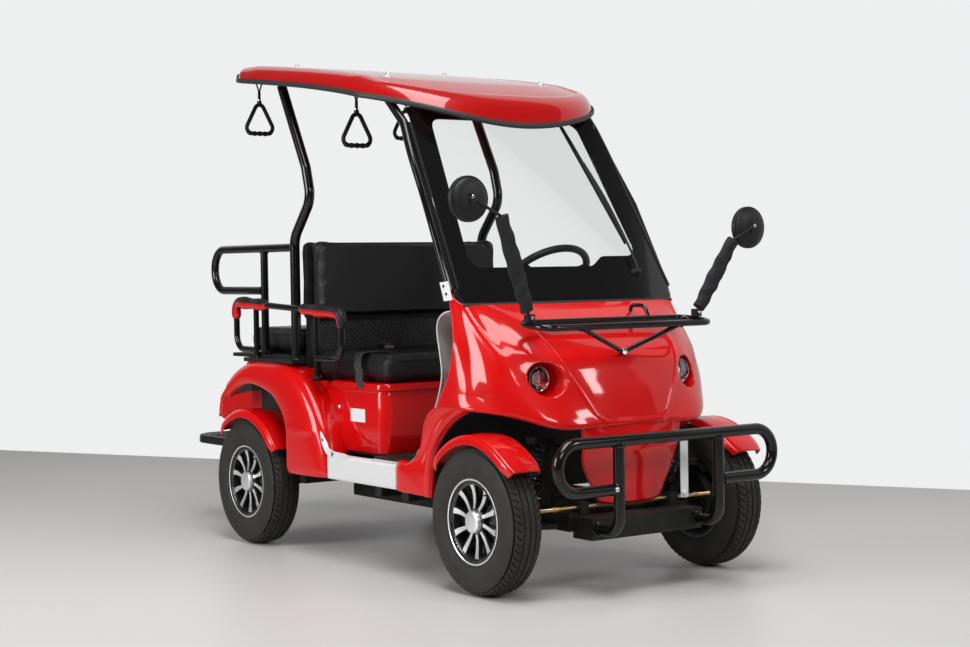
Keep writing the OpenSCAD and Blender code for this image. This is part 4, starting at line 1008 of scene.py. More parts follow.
for side, sign in (("left", 1), ("right", -1)):
    made = guard_mesh(np.array([sign * track_half, front_axle, wheel_r]), sign, 37, 142, 0.010)
    piece(f"front_mudguard_{side}", made, [red], (f"front_mudguard_{side}",), f"knuckle_{side}")
    stay = [block((0.386, front_axle - 0.010, 0.498), (0.418, front_axle + 0.010, 0.504)),
            lathe([(0, 0.007), (0.004, 0.007), (0.0055, 0.005), (0.0055, 0)], (0.410, front_axle, 0.504),
                  (0, 0, 1), 24, 1)]
    piece(f"mudguard_stay_{side}", stay if sign > 0 else [mirrored(p) for p in stay], [steel, bright],
          (), f"knuckle_{side}", bevel=0.001)
rear_guards = guard_mesh(np.array([track_half, rear_axle, wheel_r]), 1, 43, 149, 0.0) \
    + [block((0.388, rear_axle - 0.012, 0.4995), (0.4140, rear_axle + 0.012, 0.506))]
piece("rear_mudguards", pair(rear_guards), [red], ("rear_mudguards",))


# Seats. Foam pads covered in satin black vinyl: each is sewn from a face panel and a side band, with a
# welt along the seam, so it swells between its seams and draws in at the corners. The bench faces
# forwards on the seat box, and the second one faces back on the steel deck behind the panel.
vinyl = Finish("black_vinyl", {"Base Color": rgb(0.009, 0.009, 0.010), "Roughness": 0.46,
                               "Specular IOR Level": 0.3})
creases = vinyl.node("TexVoronoi", {"feature": "DISTANCE_TO_EDGE"}, {"Vector": vinyl.place(), "Scale": 420.0})
vinyl.wire(vinyl.surface, {"Base Color": vinyl.blend(vinyl.noise(7.0, 4.0), rgb(0.006, 0.006, 0.007),
                                                     rgb(0.013, 0.013, 0.0145)),
                           "Roughness": vinyl.noise(12.0, 4.0) * 0.18 + 0.32})
vinyl.bump((creases < 0.10) * -0.5 + vinyl.noise(26.0, 4.0) * 1.6, 0.0012, 0.35)


def pad_faces(low, high, radius, step=0.012):
    """A box of even cells with every edge turned to a radius: each point is drawn to the box shrunk by the
    radius and set out from it by the radius."""
    low, high = np.array(low, float), np.array(high, float)
    faces = []
    for axis in range(3):
        i, j = [k for k in range(3) if k != axis]
        a = np.linspace(low[i], high[i], int((high[i] - low[i]) / step) + 1)
        b = np.linspace(low[j], high[j], int((high[j] - low[j]) / step) + 1)
        A, B = np.meshgrid(a, b, indexing="ij")
        for level in (low[axis], high[axis]):
            p = np.zeros(A.shape + (3,))
            p[..., i], p[..., j], p[..., axis] = A, B, level
            core = np.clip(p, low + radius, high - radius)
            faces.append(grid(core + radius * unit(p - core)))
    return faces


def read_points(mesh):
    co = np.empty(len(mesh.vertices) * 3, np.float32)
    mesh.vertices.foreach_get("co", co)
    return co.reshape(-1, 3).astype(float)


def write_points(mesh, points):
    mesh.vertices.foreach_set("co", points.astype(np.float32).ravel())
    mesh.update()


def stuff(made, cap):
    """Blows the pad up from inside as cloth for twenty frames. Each point stays within cap of where it began."""
    voxels = made.modifiers.new("voxels", "REMESH")
    voxels.mode, voxels.voxel_size = "VOXEL", 0.006
    settle(made)
    began = read_points(made.data)
    cloth = made.modifiers.new("cloth", "CLOTH")
    cloth.settings.use_pressure, cloth.settings.uniform_pressure_force = True, 4
    cloth.settings.effector_weights.gravity = 0
    cloth.settings.quality = 4
    cloth.point_cache.frame_start, cloth.point_cache.frame_end = 1, 20
    for step in range(1, 21):
        scene.frame_set(step)
    moved = read_points(made.evaluated_get(bpy.context.evaluated_depsgraph_get()).to_mesh()) - began
    made.modifiers.clear()
    far = np.linalg.norm(moved, axis=1, keepdims=True)
    write_points(made.data, began + moved * np.minimum(1, cap / np.maximum(far, 1e-9)))
    scene.frame_set(1)


def cushion(name, low, high, radius, face, seam_in, dent):
    """A pad between two corners. face is the axis and direction of its sitting side; its seam runs seam_in from
    the edge of that side. dent is the offset and half sizes of the hollow at each of its two places, in metres."""
    low, high = np.array(low, float), np.array(high, float)
    axis, sense = face
    i, j = [k for k in range(3) if k != axis]
    swell = 0.012
    made = piece(name, pad_faces(low + swell * 0.6, high - swell * 0.6, radius), [vinyl],
                 (name,))
    p = read_points(made.data)
    middle, half = (low + high) / 2, (high - low) / 2
    e = (p - middle) / half
    crowned = (1 - np.abs(e[:, i]) ** 5).clip(0) * (1 - np.abs(e[:, j]) ** 5).clip(0)
    p[:, axis] += sense * swell * crowned * (e[:, axis] * sense > 0.2)
    for k, other in ((i, j), (j, i)):
        p[:, k] -= np.sign(e[:, k]) * 0.006 * (1 - np.abs(e[:,
                                                            other]) ** 3).clip(0) * np.abs(e[:, k]) ** 6 * -0.4
    write_points(made.data, p)
    stuff(made, 0.014)
    finer = made.modifiers.new("finer", "SUBSURF")
    finer.levels = finer.render_levels = 1
    settle(made)
    p = read_points(made.data)
    a, b = half[i] - seam_in, half[j] - seam_in
    r = min(radius * 1.1, 0.05)
    corner = [(-a, -b), (a, -b), (a, b), (-a, b)]
    loop = rounded_loop([(x, y, 0.0) for x, y in corner], r, 8)[:, :2]
    loop = resample(loop, 220)
    q = p[:, [i, j]] - middle[[i, j]]
    off = past_rounded(np.abs(q[:, 0]) - a + r, np.abs(q[:, 1]) - b + r, r)
    on_face = (p[:, axis] - middle[axis]) * sense > half[axis] * 0.3
    sink = 0.0042 * np.exp(-((off / 0.0075) ** 2)) * on_face
    aside, wide, deep = dent
    pull = sum(0.004 * np.exp(-(((q[:, 0] - seat) / wide) ** 4) - (((q[:, 1] - aside) / deep) ** 4))
               for seat in (-0.20, 0.20))
    p[:, axis] -= sense * (sink + pull * on_face)
    p = np.clip(p, low, high)
    write_points(made.data, p)
    made.data.shade_smooth()
    tree = BVHTree.FromPolygons([Vector(v) for v in p], [list(f.vertices) for f in made.data.polygons])
    way = np.zeros(3)
    way[axis] = -sense
    far = np.zeros(3)
    far[axis] = sense
    starts = np.zeros((len(loop), 3))
    starts[:, [i, j]] = loop + middle[[i, j]]
    starts[:, axis] = middle[axis]
    hits = np.array([np.array(tree.ray_cast(Vector(s + far), Vector(way))[0]) for s in starts])
    smooth_hits = sum(np.roll(hits, k, 0) for k in (-2, -1, 0, 1, 2)) / 5
    piece(f"{name}_welt", [tube(smooth_hits, 0.0030, (far + 0.01), closed=True, n=10)], [vinyl])
    return made


deck = 0.7376
cushion("front_cushion", (-0.406, -0.301, 0.6513), (0.406, 0.224, 0.7563), 0.030, (2, 1), 0.024,
        (-0.02, 0.15, 0.20))
cushion("front_backrest", (-0.428, 0.1417, 0.865), (0.428, 0.2257, 1.185), 0.030, (1, -1), 0.022,
        (0.0, 0.16, 0.11))
cushion("rear_cushion", (-0.406, 0.330, deck), (0.406, 0.750, 0.8376), 0.030, (2, 1), 0.024,
        (0.02, 0.15, 0.16))
cushion("rear_backrest", (-0.414, 0.2403, 0.8573), (0.414, 0.320, 1.185), 0.028, (1, 1), 0.022,
        (0.0, 0.16, 0.11))

# Panel behind the front bench. A black sheet stands between the two benches; the part that shows between the
# cushion and the backrest is punched with rows of small holes, in a folded frame.
sheet_black = Finish("punched_sheet", {"Base Color": rgb(0.012, 0.012, 0.012), "Roughness": 0.4})
sheet_black.rough(30.0, 3.0, 0.2, 0.3)
punched = Finish("punched_edge", {"Base Color": rgb(0.09, 0.09, 0.09), "Roughness": 0.35, "Metallic": 0.8})
punched.rough(80.0, 3.0, 0.2, 0.25)
px, pz = np.meshgrid(np.arange(-0.399, 0.400, 0.021), np.arange(0.774, 0.862, 0.021), indexing="ij")
holes = []
for ox, oz in ((0, 0), (0.0105, 0.0105)):
    cx, cz = (px + ox).ravel(), (pz + oz).ravel()
    keep = (np.abs(cx) < 0.402) & (cz < 0.862)
    a = np.linspace(0, 2 * np.pi, 7)
    ring = np.stack([cx[keep, None] + 0.0042 * np.cos(a), np.full((keep.sum(), 7), 0.2214),
                     cz[keep, None] + 0.0042 * np.sin(a)], -1)
    lip = ring + [0, -0.0012, 0]
    inner = np.stack([cx[keep, None] + 0.0030 * np.cos(a), np.full((keep.sum(), 7), 0.2200),
                      cz[keep, None] + 0.0030 * np.sin(a)], -1)
    for r0, r1 in ((ring, lip), (lip, inner)):
        m = len(r0)
        points = np.concatenate([r0.reshape(-1, 3), r1.reshape(-1, 3)])
        k = (np.arange(m)[:, None] * 7 + np.arange(6)).ravel()
        quads = np.stack([k, k + 1, k + 1 + 7 * m, k + 7 * m], -1).tolist()
        holes.append((points, quads, np.zeros((len(points), 2)), 1))
piece("back_panel", [block((-0.418, 0.2262, 0.651), (0.418, 0.2398, 1.155)),
                     block((-0.415, 0.2215, 0.758), (0.415, 0.2262, 0.872), 0)] + holes,
      [sheet_black, punched], ("back_panel",))


# Seat box. A red moulded box under the front bench. Its front corners are cut at an angle, a flange runs
# round under the lid, and the sides carry a slanting rib, two bolts and, on the right, a small blank plate.
def box_ring(z, out):
    """Plan outline of the seat box at a height, set out by a distance."""
    h, y0, y1, c = 0.4195 + out, -0.2945 - out, 0.2395, 0.030
    loop = [(-h, y1, z), (-h, y0 + c, z), (-h + c, y0, z), (h - c, y0, z), (h, y0 + c, z), (h, y1, z)]
    around = resample(rounded_loop(loop, 0.030, 6), 220)
    return np.concatenate([around, around[:1]])


levels = [(0.4005, -0.012), (0.4005, -0.004), (0.406, -0.001), (0.50, -0.003), (0.606, -0.007),
          (0.620, -0.010),
          (0.6225, -0.009), (0.6245, -0.002), (0.6265, 0.0), (0.647, 0.0), (0.650, -0.0015), (0.651, -0.005)]
box_side = np.stack([box_ring(z, out) for z, out in levels])
middle = np.array([0, -0.027, 0.0])
lid = middle * [0, 1, 0] + [0, 0, 0.651]
sole = middle * [0, 1, 0] + [0, 0, 0.4005]
box_side = np.concatenate([box_side[:1] * 0 + sole, box_side, box_side[:1] * 0 + lid])
rib = np.linspace([0.420, 0.1506, 0.574], [0.420, -0.0045, 0.430], 12)
piece("seat_box", [grid(box_side)] + pair([tube(rib, 0.0095 * np.r_[0.3, 0.75, [1] * 8, 0.75, 0.3], (1, 0, 0),
                                                n=20)]),
      [red], ("seat_box",))
dome = [(0, 0.0105), (0.0015, 0.0105), (0.002, 0.0085), (0.0045, 0.0075), (0.0062, 0.004), (0.0066, 0)]
piece("seat_box_bolts", pair([lathe(dome, at, (1, 0, 0), 32) for at in ((0.4175, 0.0069, 0.5565),
                                                                        (0.4285, 0.0060, 0.4330))]),
      [bright])
cowl_side = np.array(skin.ray_cast(Vector((3, front_axle + 0.058, 0.691)), Vector((-1, 0, 0)))[0])
piece("cowl_bolts", pair([lathe(dome, cowl_side - [0.001, 0, 0], (0.9, -0.4, 0.1), 32)]), [bright])
blank = Finish("blank_plate", {"Base Color": rgb(0.78, 0.80, 0.82), "Roughness": 0.35})
blank.rough(90.0, 3.0, 0.1, 0.3)
piece("blank_plate", [block((-0.4180, -0.172, 0.508), (-0.4165, -0.073, 0.556))], [blank],
      bevel=0.0005)

# Rear body. Red panels close the tail: a deck behind the bench that turns down the back over the axle,
# with its side edges turned up, a panel in the back that stands a little proud, and flat sides hidden
# behind the arches.
tail = route(np.c_[np.zeros(7), np.array([-0.295, 0.185, 0.250, 0.390, 0.440, 0.455, 0.455]) + rear_axle,
                   [0.708, 0.708, 0.628, 0.576, 0.535, 0.470, 0.462]], 0.05, 10)
tail = tail[np.r_[True, np.linalg.norm(np.diff(tail, axis=0), axis=1) > 1e-4]]
fine = spline(tail, np.linspace(0, len(tail) - 1, 150))
run = unit(np.gradient(fine, axis=0))
outwards = np.cross([1.0, 0, 0], run)
across = np.r_[np.linspace(-0.395, -0.365, 9), np.linspace(-0.355, 0.355, 81), np.linspace(0.365, 0.395, 9)]
edge = np.clip((np.abs(across) - 0.375) / 0.020, 0, 1)
rise = 0.020 * (1 - np.sqrt(1 - np.minimum(edge, 0.999) ** 2))
body_skin = fine[:, None] + across[None, :, None] * [1, 0, 0] + rise[None, :, None] * outwards[:, None]
gone = np.r_[0, np.cumsum(np.linalg.norm(np.diff(fine, axis=0), axis=1))]
shut = past_rounded(np.abs(across)[None] - 0.285, np.abs(gone - gone[-1] + 0.150)[:, None] - 0.062, 0.025)
body_skin = body_skin + (0.004 / (1 + np.exp(shut / 0.0016)))[..., None] * outwards[:, None]
flank = np.concatenate([fine[:, 1:] + [-0.0005, 0],
                        np.array([[0.430, 0.458], [0.330, 0.470], [0.255, 0.400], [-0.295, 0.400]])
                        + [rear_axle, 0]])
piece("rear_body", sheet(body_skin, 0.004, 0, True)
      + pair([plate(flank - [0.0, 0.004], 0.389, 0.3935)]), [red], ("rear_body",))

# Rear wheel arches. A broad rounded band springs from the sill, climbs over the wheel and ends in a
# blunt tip at the tail; its outer face rolls over into the top of the arch, and its edges are turned in.
crest = np.array([[-579, 302], [-555, 395], [-525, 476], [-456, 583], [-375, 656], [-272, 698], [-120, 706],
                  [5, 704],
                  [100, 675], [176, 627]]) / 1000 + [rear_axle, 0]
mouth = np.array([[-295, 302], [-294, 395], [-291, 470], [-262, 530], [-200, 585], [-150, 605], [-75, 622],
                  [5, 628],
                  [90, 608], [165, 568]]) / 1000 + [rear_axle, 0]
t = np.linspace(0, 9, 109)
crest_line, mouth_line = spline(crest, t), spline(mouth, t)
profile = np.array([[0.398, 0.004], [0.420, 0.000], [0.455, 0.000], [0.482, 0.020], [0.500, 0.085],
                    [0.5105, 0.20],
                    [0.5165, 0.38], [0.5190, 0.60], [0.5180, 0.82], [0.5150, 0.95], [0.5080, 1.0],
                    [0.4990, 0.985],
                    [0.4950, 0.950]])
f = spline(profile, np.linspace(0, 12, 73))
arch = (crest_line[:, None] * (1 - f[None, :, 1:]) + mouth_line[:, None] * f[None, :, 1:])
arch = np.concatenate([np.broadcast_to(f[None, :, :1], arch.shape[:2] + (1,)), arch], -1)
foot_roll = np.exp(-((arch[..., 2] - 0.302) / 0.010) ** 2) * 0.006
arch[..., 0] -= foot_roll * (f[None, :, 0] > 0.49)
# A low fold crosses the foot of the arch at the height of the sill's upswept end
arch[..., 0] += 0.0045 * np.exp(-((arch[..., 2] - 0.470) / 0.012) ** 2) * np.clip((f[None, :, 0] - 0.49) * 60, 0, 1) \
    * np.exp(-((arch[..., 1] - 0.12) / 0.08) ** 2)
arch[..., 0] = np.minimum(arch[..., 0], 0.520)
tip_rows = np.linspace(0.9, 0.0, 6)[:, None, None]
tip_mid = (arch[-1].min(0) + arch[-1].max(0)) / 2
tail_face = tip_mid + (arch[-1] - tip_mid) * tip_rows + [0, 0.012, -0.006] * (1 - tip_rows**2)
arch = np.concatenate([arch, tail_face])
piece("rear_arches", pair(sheet(arch, 0.004, 0, False)), [red], ("rear_arches",))
# Black plates laid over the body's flanks under the rear arches are painted shade for the flanks there, not a part of
# the cart.
flank_shade = Finish("flank_shade_black", {"Base Color": rgb(0.010, 0.010, 0.010), "Roughness": 0.75})
flank_shade.rough(40.0, 3.0, 0.2, 0.65)
well = np.array([[-0.290, 0.402], [-0.290, 0.690], [0.150, 0.690], [0.205, 0.648], [0.300, 0.600],
                 [0.370, 0.575],
                 [0.370, 0.553], [0.250, 0.575], [0.105, 0.590], [0.105, 0.508], [0.250, 0.497],
                 [0.390, 0.484],
                 [0.330, 0.472], [0.255, 0.402]]) + [rear_axle, 0]
piece("flank_shade_plates", pair([plate(well, 0.3938, 0.3975)]), [flank_shade])

# Sills. A brushed extrusion with fine grooves runs between the wheel arches under each door. A thin
# trim strip lies along its top and sweeps up the arch at the back, with a long slot and two screws.
silver = Finish("silver_trim", {"Base Color": rgb(0.84, 0.85, 0.86), "Roughness": 0.42, "Metallic": 0.25})
brushed = silver.noise(60.0, 4.0, silver.place((20, 1, 20)))
silver.wire(silver.surface, {"Base Color": silver.blend(brushed, rgb(0.80, 0.81, 0.82),
                                                        rgb(0.88, 0.89, 0.90)),
                             "Roughness": brushed * 0.14 + 0.28})
silver.bump(brushed, 0.0003, 0.25)
cross = np.array([[0.470, 0.3005], [0.4985, 0.3005], [0.5015, 0.303], [0.503, 0.307], [0.503, 0.3215],
                  [0.5018, 0.3225],
                  [0.5018, 0.3240], [0.503, 0.3250], [0.503, 0.3290], [0.5018, 0.3300], [0.5018, 0.3315],
                  [0.503, 0.3325],
                  [0.503, 0.3790], [0.5018, 0.3800], [0.5010, 0.3835], [0.4975, 0.3880], [0.491, 0.3898],
                  [0.470, 0.3898],
                  [0.470, 0.3005]])
ends = np.stack([np.c_[cross[:, 0], np.full(len(cross), y),
                       cross[:, 1]] for y in (-0.5035, -0.503, -0.0445, -0.044)])
ends[[0, -1], :, 0] = 0.486 + (ends[[0, -1], :, 0] - 0.486) * 0.93
ends[[0, -1], :, 2] = 0.345 + (ends[[0, -1], :, 2] - 0.345) * 0.985
caps = [(np.concatenate([[[0.486, e[0, 1], 0.345]], e[:-1]]),
         [[0, k + 1, (k + 1) % 18 + 1] for k in range(18)], np.zeros((19, 2)),
         0) for e in (ends[0], ends[-1])]
sweep = route(np.c_[np.zeros(5), [-0.205, -0.075, -0.040, -0.012, 0.004],
                    [0.3925, 0.3925, 0.400, 0.438, 0.470]], 0.05, 8)
sweep = spline(sweep, np.linspace(0, len(sweep) - 1, 70))
along = unit(np.gradient(sweep, axis=0))
over = np.cross(along, [1.0, 0, 0])
half = 0.0135 * np.sqrt(np.clip(1 - np.linspace(-1, 1, 70) ** 12, 0.0, 1))
ring_x = np.array([0.4985, 0.5020, 0.5028, 0.5028, 0.5012, 0.5012, 0.5028, 0.5028, 0.5020, 0.4985])
ring_k = np.array([-1.0, -1.0, -0.88, -0.26, -0.20, 0.20, 0.26, 0.88, 1.0, 1.0])
strip = sweep[:, None] + ring_x[:, None] * [1, 0, 0] + over[:, None] * (half[:, None] * ring_k)[..., None]
screw = [(0, 0.0062), (0.001, 0.0062), (0.0022, 0.0045), (0.0025, 0)]
front_strip = spline(np.array([[0.486, -0.330, 0.3915], [0.486, -0.500, 0.3915], [0.486, -0.570, 0.397],
                               [0.486, -0.615, 0.418], [0.486, -0.640, 0.450]]), np.linspace(0, 4, 40))
lift = unit(np.cross([1.0, 0, 0], np.gradient(front_strip, axis=0)))
front_strip = front_strip[:, None] + np.array([-0.011, -0.010, 0.010, 0.011])[:, None] * [1, 0, 0] \
    + np.array([0.0, 0.0018, 0.0018, 0.0])[:, None] * np.abs(lift[:, None])
piece("sills", pair([grid(ends)] + caps + [grid(strip), grid(front_strip)]
                    + [lathe(screw, (0.5010, *sweep[k, 1:]), (1, 0, 0), 24, 1) for k in (5, 64)]),
      [silver, steel], ("sills",), sharp=25)

# Footrest. A black moulded step at the tail: D-shaped, ribbed across, with a rounded rim.
def step_ring(z, out):
    h, y0, y1 = 0.350 + out, 1.0158 - out, 1.379 + out
    loop = [(-h, y0, z), (h, y0, z), (h, y1, z), (-h, y1, z)]
    r = 0.118
    corner = [np.array([[h - r + r * math.sin(a), y1 - r + r * math.cos(a),
                         z] for a in np.linspace(math.pi / 2, 0, 13)]),
              np.array([[-h + r - r * math.sin(a), y1 - r + r * math.cos(a),
                         z] for a in np.linspace(0, math.pi / 2, 13)])]
    around = resample(np.concatenate([[loop[0], loop[1]], *corner]), 200)
    return np.concatenate([around, around[:1]])


rims = [(0.331, -0.010), (0.3305, -0.004), (0.334, 0.0), (0.3415, 0.0), (0.3425, -0.003), (0.3465, -0.003),
        (0.3475, 0.0),
        (0.3535, 0.0), (0.3545, -0.003), (0.3585, -0.003), (0.3595, -0.001), (0.3625, -0.002),
        (0.3645, -0.007), (0.365, -0.014),
        (0.3625, -0.020)]
step_side = np.stack([step_ring(z, out) for z, out in rims])
hub_up, hub_down = np.array([0, 1.19, 0.3625]), np.array([0, 1.19, 0.331])
step_side = np.concatenate([step_side[:1] * 0 + hub_down, step_side, step_side[:1] * 0 + hub_up])
ridges = [block((x - 0.004, 1.045, 0.3615), (x + 0.004, 1.345 if abs(x) < 0.24 else 1.27, 0.3648))
          for x in np.arange(-0.300, 0.301, 0.030)]
piece("footrest", [grid(step_side)] + ridges, [moulded], ("footrest",))


# Bumper, rack and rails. All are bent round tube in gloss black with welded joints: the bumper's loops
# hang from two posts, the rack is a rounded rectangle over the hood on a V brace, with a hook.
def weld(at, axis, radius):
    """The bead round the end of a tube where it meets another."""
    return lathe([(-0.001, radius - 0.001), (0.0, radius + 0.0035), (0.002, radius + 0.003),
                  (0.005, radius + 0.0005),
                  (0.006, radius - 0.001)], at, axis, 32)


bar_y, bar_r = front_axle - 0.360, 0.019
bar = route([(-0.212, bar_y, 0.356), (-0.456, bar_y, 0.356), (-0.456, bar_y, 0.510), (0.456, bar_y, 0.510),
             (0.456, bar_y, 0.356), (0.212, bar_y, 0.356)], 0.076, 16)
post = route([(0.212, bar_y, 0.505), (0.212, bar_y, 0.215), (0.212, -1.2503, 0.215)], 0.070, 14)
hexagon = [(0, 0.011), (0.0055, 0.011), (0.0065, 0.0085), (0.0065, 0)]
piece("bull_bar", [tube(bar, bar_r, (0, 1, 0), n=28)] + pair([
    tube(post, bar_r, (1, 0, 0), n=28), weld((0.212, bar_y, 0.4925), (0, 0, -1), bar_r),
    weld((0.229, bar_y, 0.356), (1, 0, 0), bar_r),
    lathe([(0, 0.024), (0.004, 0.024), (0.005, 0.022), (0.005, 0.019)], (0.212, -1.2535, 0.215), (0, -1, 0),
          40)])
    + [lathe([(0, 0.008), (0.003, 0.008), (0.005, 0.0055), (0.0055, 0)], (-0.236, bar_y - 0.0182, 0.358),
             (0, -1, 0), 24, 1)],
      [gloss, bright], ("bull_bar",))

rack_corner = 0.055
corners = [np.array(p) / 1000 + [0, front_axle, 0] for p in ((-360, -180, 866), (360, -180, 866),
                                                             (360, -30, 880), (-360, -30, 880))]
loop = []
for k, p in enumerate(corners):
    a, b = unit(corners[k - 1] - p), unit(corners[(k + 1) % 4] - p)
    q = np.linspace(0, 1, 13)[:, None]
    loop.append((1 - q) ** 2 * (p + rack_corner * a) + 2 * q * (1 - q) * p + q**2 * (p + rack_corner * b))
loop = np.concatenate(loop)
v_brace = route([(-0.214, -1.180, 0.864), (0, -1.132, 0.776), (0.214, -1.180, 0.864)], 0.022, 10)
hook = route([(0.200, -1.032, 0.882), (0.200, -1.010, 0.925), (0.200, -0.940, 0.925), (0.200, -0.934, 0.903)],
             0.034, 12)
stay = np.array([(0, -1.132, 0.776), (0, -1.132 + 0.914 * 0.0166, 0.776 - 0.407 * 0.0166)])
piece("front_rack", [tube(loop, 0.011, (0, 0, 1), closed=True, n=20), tube(v_brace, 0.008, (0, 1, 0), n=16),
                     tube(hook, 0.007, (1, 0, 0), n=14), tube(stay, 0.007, (1, 0, 0), n=16),
                     weld((-0.214, -1.180, 0.861), (0.4, 0.1, -0.5), 0.008),
                     weld((0.214, -1.180, 0.861), (-0.4, 0.1, -0.5), 0.008),
                     lathe([(-0.006, 0), (-0.006, 0.0075), (-0.001, 0.0115), (0.004, 0.0115), (0.0065, 0.009),
                            (0.008, 0.0)],
                           (0, -1.137, 0.7765), (0, -0.9, 0.42), 24, 1)],
      [gloss, bright], ("front_rack",))

rear_x = 0.436
rail_loop = route([(rear_x, 0.3043, 1.150), (rear_x, 0.944, 1.150), (rear_x, 0.944, 0.985),
                   (rear_x, 0.527, 0.985)], 0.0785, 14)
piece("rear_rails", pair([tube(rail_loop, 0.016, (1, 0, 0), n=24),
                          tube(np.array([(rear_x, 0.527, 0.7378), (rear_x, 0.527, 0.95),
                                         (rear_x, 0.527, 1.150)]), 0.015, (1, 0, 0), n=24),
                          weld((rear_x, 0.527, 1.1345), (0, 0, -1), 0.015),
                          weld((rear_x, 0.543, 0.985), (0, 1, 0), 0.016),
                          plate(np.array([[0.497, 0.7378], [0.557, 0.7378], [0.557, 0.742], [0.497, 0.742]]),
                                0.412, 0.4575)]
                         + [lathe(hexagon, (rear_x, y, 0.742), (0, 0, 1), 6) for y in (0.502, 0.552)]),
      [gloss], ("rear_rails",))

# Armrests. Each is a loop of thin tube on three posts. A moulded grip is pushed over the bend at each
# end: black on top, red underneath, thicker in its middle.
arm_x = 0.470
arm_loop = route([(arm_x, 0.538, 0.755), (arm_x, 0.700, 0.755), (arm_x, 0.700, 0.940), (arm_x, -0.105, 0.905),
                  (arm_x, -0.105, 0.735), (arm_x, 0.075, 0.735)], 0.0555, 12)
piece("armrests", pair([tube(arm_loop, 0.012, (1, 0, 0), n=20)]
                       + [tube(np.array([(arm_x, y, 0.7238), (arm_x, y, 0.83), (arm_x, y, 0.925)]), 0.011,
                               (1, 0, 0), n=18)
                          for y in (0.538, 0.223)]
                       + [tube(np.array([(arm_x, 0.075, 0.659), (arm_x, 0.075, 0.78), (arm_x, 0.075, 0.905)]),
                               0.011, (1, 0, 0), n=18),
                          block((0.409, 0.060, 0.6515), (0.482, 0.090, 0.6630))]
                       + [weld((arm_x, y, z), (0, 0, 1), 0.011) for y,
                          z in ((0.538, 0.726), (0.223, 0.726), (0.075, 0.663))]
                       + [weld((arm_x, y, z), (0, 0, -1), 0.011) for y,
                          z in ((0.538, 0.921), (0.223, 0.908), (0.075, 0.901))]),
      [gloss], ("armrests",))
pads = []
for stretch in ([(arm_x, 0.700, 0.870), (arm_x, 0.700, 0.940), (arm_x, 0.440, 0.9287)],
                [(arm_x, 0.190, 0.9178), (arm_x, -0.105, 0.905), (arm_x, -0.105, 0.840)]):
    way = route(stretch, 0.056, 24)
    way = resample(np.concatenate([way, way[-2:0:-1]]), 2 * 60)[:61]
    t = unit(np.gradient(way, axis=0))
    u = np.cross([1.0, 0, 0], t)
    s = np.linspace(0, 1, len(way))
    swell = (0.0205 + 0.0030 * np.sin(s * np.pi) + 0.0022 * np.cos(s * 5 * np.pi)) * np.clip(1 - (2 * s - 1) ** 14, 0.02, 1) ** 0.5
    for finish, low, high, k in ((0, -82, 82, 1.0), (1, 80, 280, 0.94)):
        a = np.radians(np.linspace(low, high, 25))
        pads.append(grid(way[:, None] - (swell[:,
                                               None] * k * np.cos(a) * (1.0 if finish == 0 else 1.05))[..., None] * u[:, None]
                         + (swell[:, None] * k * 0.90 * np.sin(a))[..., None] * np.array([1.0, 0, 0]),
                         finish))
piece("armrest_grips", pair(pads), [moulded, red], turn=False)

# Steering wheel. A moulded rim and three flat spokes tilted towards the driver, round a domed hub.
tilt = math.radians(40)
wheel_at = np.array([0.235, front_axle + 0.600, 1.020])
basis = np.array([[1, 0, 0], [0, math.cos(tilt), -math.sin(tilt)], [0, math.sin(tilt), math.cos(tilt)]])
circle = np.linspace(0, 2 * np.pi, 120, endpoint=False)
ring_path = wheel_at + (np.c_[np.cos(circle), np.sin(circle), 0 * circle] * 0.170) @ basis
arms = []
for turn_by in (90, 210, 330):
    a = math.radians(turn_by)
    spoke_out = np.array([[0.020, -0.019], [0.060, -0.014], [0.110, -0.0105], [0.1585, -0.012],
                          [0.1585, 0.012],
                          [0.110, 0.0105], [0.060, 0.014], [0.020, 0.019]])
    spun = spoke_out @ np.array([[math.cos(a), math.sin(a)], [-math.sin(a), math.cos(a)]])
    points, faces, flow, finish = plate(spun, -0.015, -0.007, 2)
    arms.append((wheel_at + points @ basis, faces, flow, finish))
piece("steering_wheel", [tube(ring_path, 0.0138, basis[2], closed=True, n=20)] + arms + [
    lathe([(-0.0445, 0), (-0.0445, 0.024), (-0.040, 0.0265), (-0.022, 0.029), (-0.016, 0.034), (0.000, 0.034),
           (0.0045, 0.030),
           (0.0068, 0.020), (0.0073, 0.0)], wheel_at, basis[2], 64)],
      [moulded], ("steering_wheel",), "steering_wheel")

# Tie rods and the front running gear. The rods are zinc plated to a dull gold with a thread and a nut at
# each end, a coil spring stands over each wishbone, and a plain bright strap hangs beside the apron.
gold = Finish("gold_zinc", {"Base Color": rgb(0.55, 0.38, 0.14), "Roughness": 0.36, "Metallic": 1.0})
gold.wire(gold.surface, {"Base Color": gold.blend(gold.noise(40.0, 4.0), rgb(0.60, 0.42, 0.16),
                                                  rgb(0.42, 0.33, 0.18)),
                         "Roughness": gold.noise(70.0, 4.0) * 0.2 + 0.26})
rod_y, rod_z = front_axle - 0.140, 0.276
thread = np.linspace(0.285, 0.371, 87)
piece("tie_rods", [tube(np.array([(-0.290, rod_y, rod_z), (0, rod_y, rod_z), (0.290, rod_y, rod_z)]), 0.0068,
                        (0, 0, 1), n=18)]
      + pair([tube(np.c_[thread, np.full(87, rod_y), np.full(87, rod_z)],
                   0.0056 + 0.0006 * (np.arange(87) % 2), (0, 0, 1), n=14),
              lathe([(0, 0), (0, 0.0095), (0.010, 0.0095), (0.010, 0)], (0.300, rod_y, rod_z), (1, 0, 0),
                    6)]),
      [gold], ("tie_rods",), "tie_rods")
low, high = np.array([0.327, front_axle, 0.232]), np.array([0.270, front_axle, 0.468])
axis = unit(high - low)
e = unit(np.cross(axis, [0, 1.0, 0]))
f = np.cross(axis, e)
a = np.linspace(0, 2 * np.pi * 7.5, 241)
